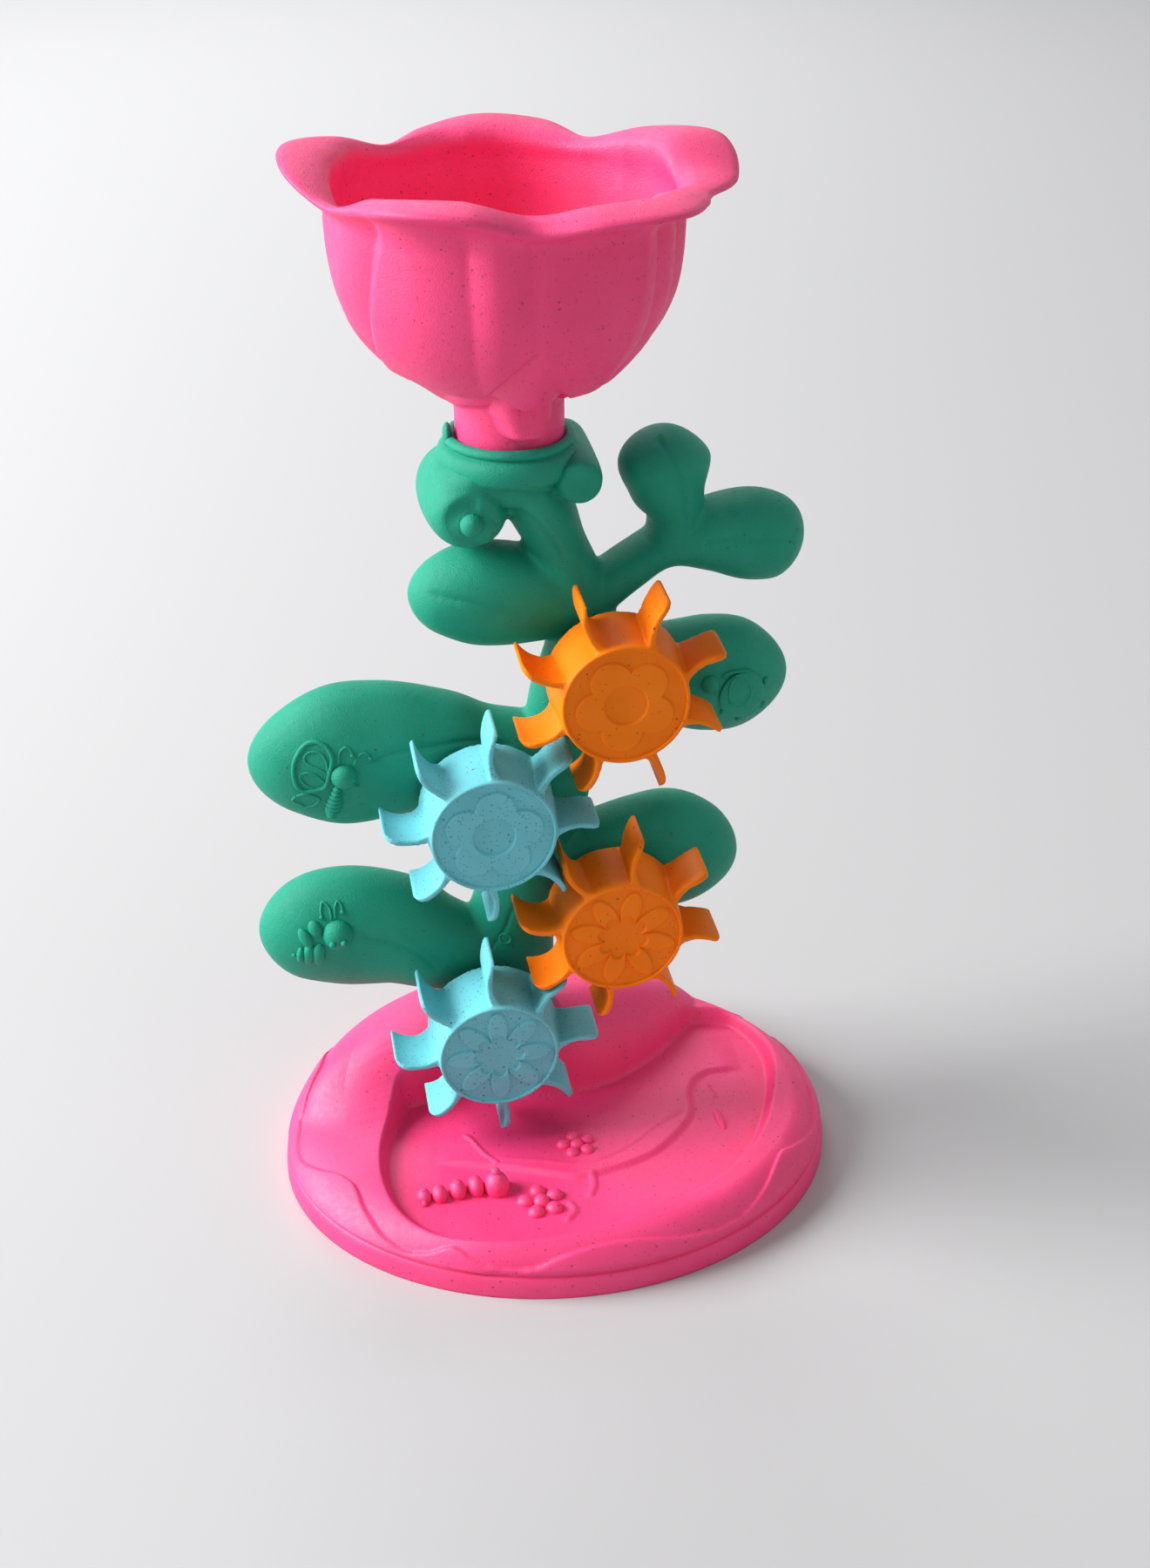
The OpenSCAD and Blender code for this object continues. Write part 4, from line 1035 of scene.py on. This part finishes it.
# Where it stands for the picture: a pale floor, a large soft window light from the left, another
# over the floor behind, a weak fill from the front right, and a plain pale room. Far off, the
# floor fades into the room's colour, which the camera and reflections see paler than its light.
floor_reach, fade_from, fade_to = 40.0, 3.7, 6.0
sheet_mesh = bmesh.new()
bmesh.ops.create_grid(sheet_mesh, x_segments=1, y_segments=1, size=floor_reach)
floor = placed("floor", sheet_mesh)
paper = bpy.data.materials.new("pale_paper")
paper.use_nodes = True
paper_shader = paper.node_tree.nodes["Principled BSDF"]
paper_colour = (0.53, 0.53, 0.535, 1)
for name, value in (("Roughness", 0.9), ("Specular IOR Level", 0.1), ("Base Color", paper_colour)):
    feed(paper.node_tree, paper_shader.inputs[name], value)


def seen_directly(tree):
    """1 for what the camera, reflections and clear things see, and 0 for light."""
    path = tree.nodes.new("ShaderNodeLightPath")
    total = path.outputs["Is Camera Ray"]
    for kind in ("Is Glossy Ray", "Is Transmission Ray"):
        total = maths(tree, "MAXIMUM", total, path.outputs[kind])
    return total


far_colour = (0.76, 0.76, 0.765, 1)
tree = paper.node_tree
place = tree.nodes.new("ShaderNodeTexCoord")
reach = tree.nodes.new("ShaderNodeVectorMath")
reach.operation = "LENGTH"
feed(tree, reach.inputs[0], place.outputs["Object"])
fade = shader_node(
    tree, "ShaderNodeMapRange", Value=reach.outputs["Value"], From_Min=fade_from, From_Max=fade_to
)
only_seen = maths(tree, "MULTIPLY", fade.outputs["Result"], seen_directly(tree))
haze = shader_node(tree, "ShaderNodeEmission", Color=far_colour)
blend = shader_node(tree, "ShaderNodeMixShader", Fac=only_seen)
feed(tree, blend.inputs[1], paper_shader.outputs["BSDF"])
feed(tree, blend.inputs[2], haze.outputs["Emission"])
feed(tree, tree.nodes["Material Output"].inputs["Surface"], blend.outputs["Shader"])
floor.data.materials.append(paper)


def soft_light(name, place, aim, size, watts, tint):
    """A round area lamp that hangs in its place and looks at its aim."""
    lamp = bpy.data.lights.new(name, "AREA")
    lamp.shape = "DISK"
    lamp.size = size
    lamp.energy = watts
    lamp.color = tint
    holder = bpy.data.objects.new(name, lamp)
    holder.location = place
    toward = Vector(aim) - Vector(place)
    holder.rotation_euler = toward.to_track_quat("-Z", "Y").to_euler()
    bpy.context.scene.collection.objects.link(holder)


soft_light("window", (-2.5, 0.4, 1.6), (0, 0.2, 0.1), 1.9, 158, (1.0, 1.0, 1.0))
soft_light("backdrop", (-0.3, 2.7, 2.1), (0.1, 3.0, 0), 1.6, 44, (1.0, 1.0, 1.0))
soft_light("fill", (1.5, -1.4, 0.9), (0, 0, 0.25), 1.4, 2.4, (1.0, 0.96, 0.94))
world = bpy.data.worlds.new("room")
bpy.context.scene.world = world
world.use_nodes = True
sky = world.node_tree
room = sky.nodes["Background"]
feed(sky, room.inputs["Strength"], 1.0)
feed(sky, room.inputs["Color"], mix(sky, seen_directly(sky), (0.39, 0.39, 0.40, 1), far_colour))

# The camera: in front, above and a little to the left, with the lens and place that were fitted
# to the base's oval, the wheels' faces and the stem. Its frame stands upright.
camera_data = bpy.data.cameras.new("camera")
camera_data.lens = 47.0
camera_data.sensor_width = 36.0
camera = bpy.data.objects.new("camera", camera_data)
bpy.context.scene.collection.objects.link(camera)
pan, tilt = math.radians(-9.66), math.radians(59.69)
look = Matrix.Rotation(pan, 4, "Z") @ Matrix.Rotation(tilt, 4, "X")
camera.matrix_world = Matrix.Translation((-0.1051, -0.6643, 0.5667)) @ look
bpy.context.scene.camera = camera
bpy.context.scene.view_settings.view_transform = "Standard"
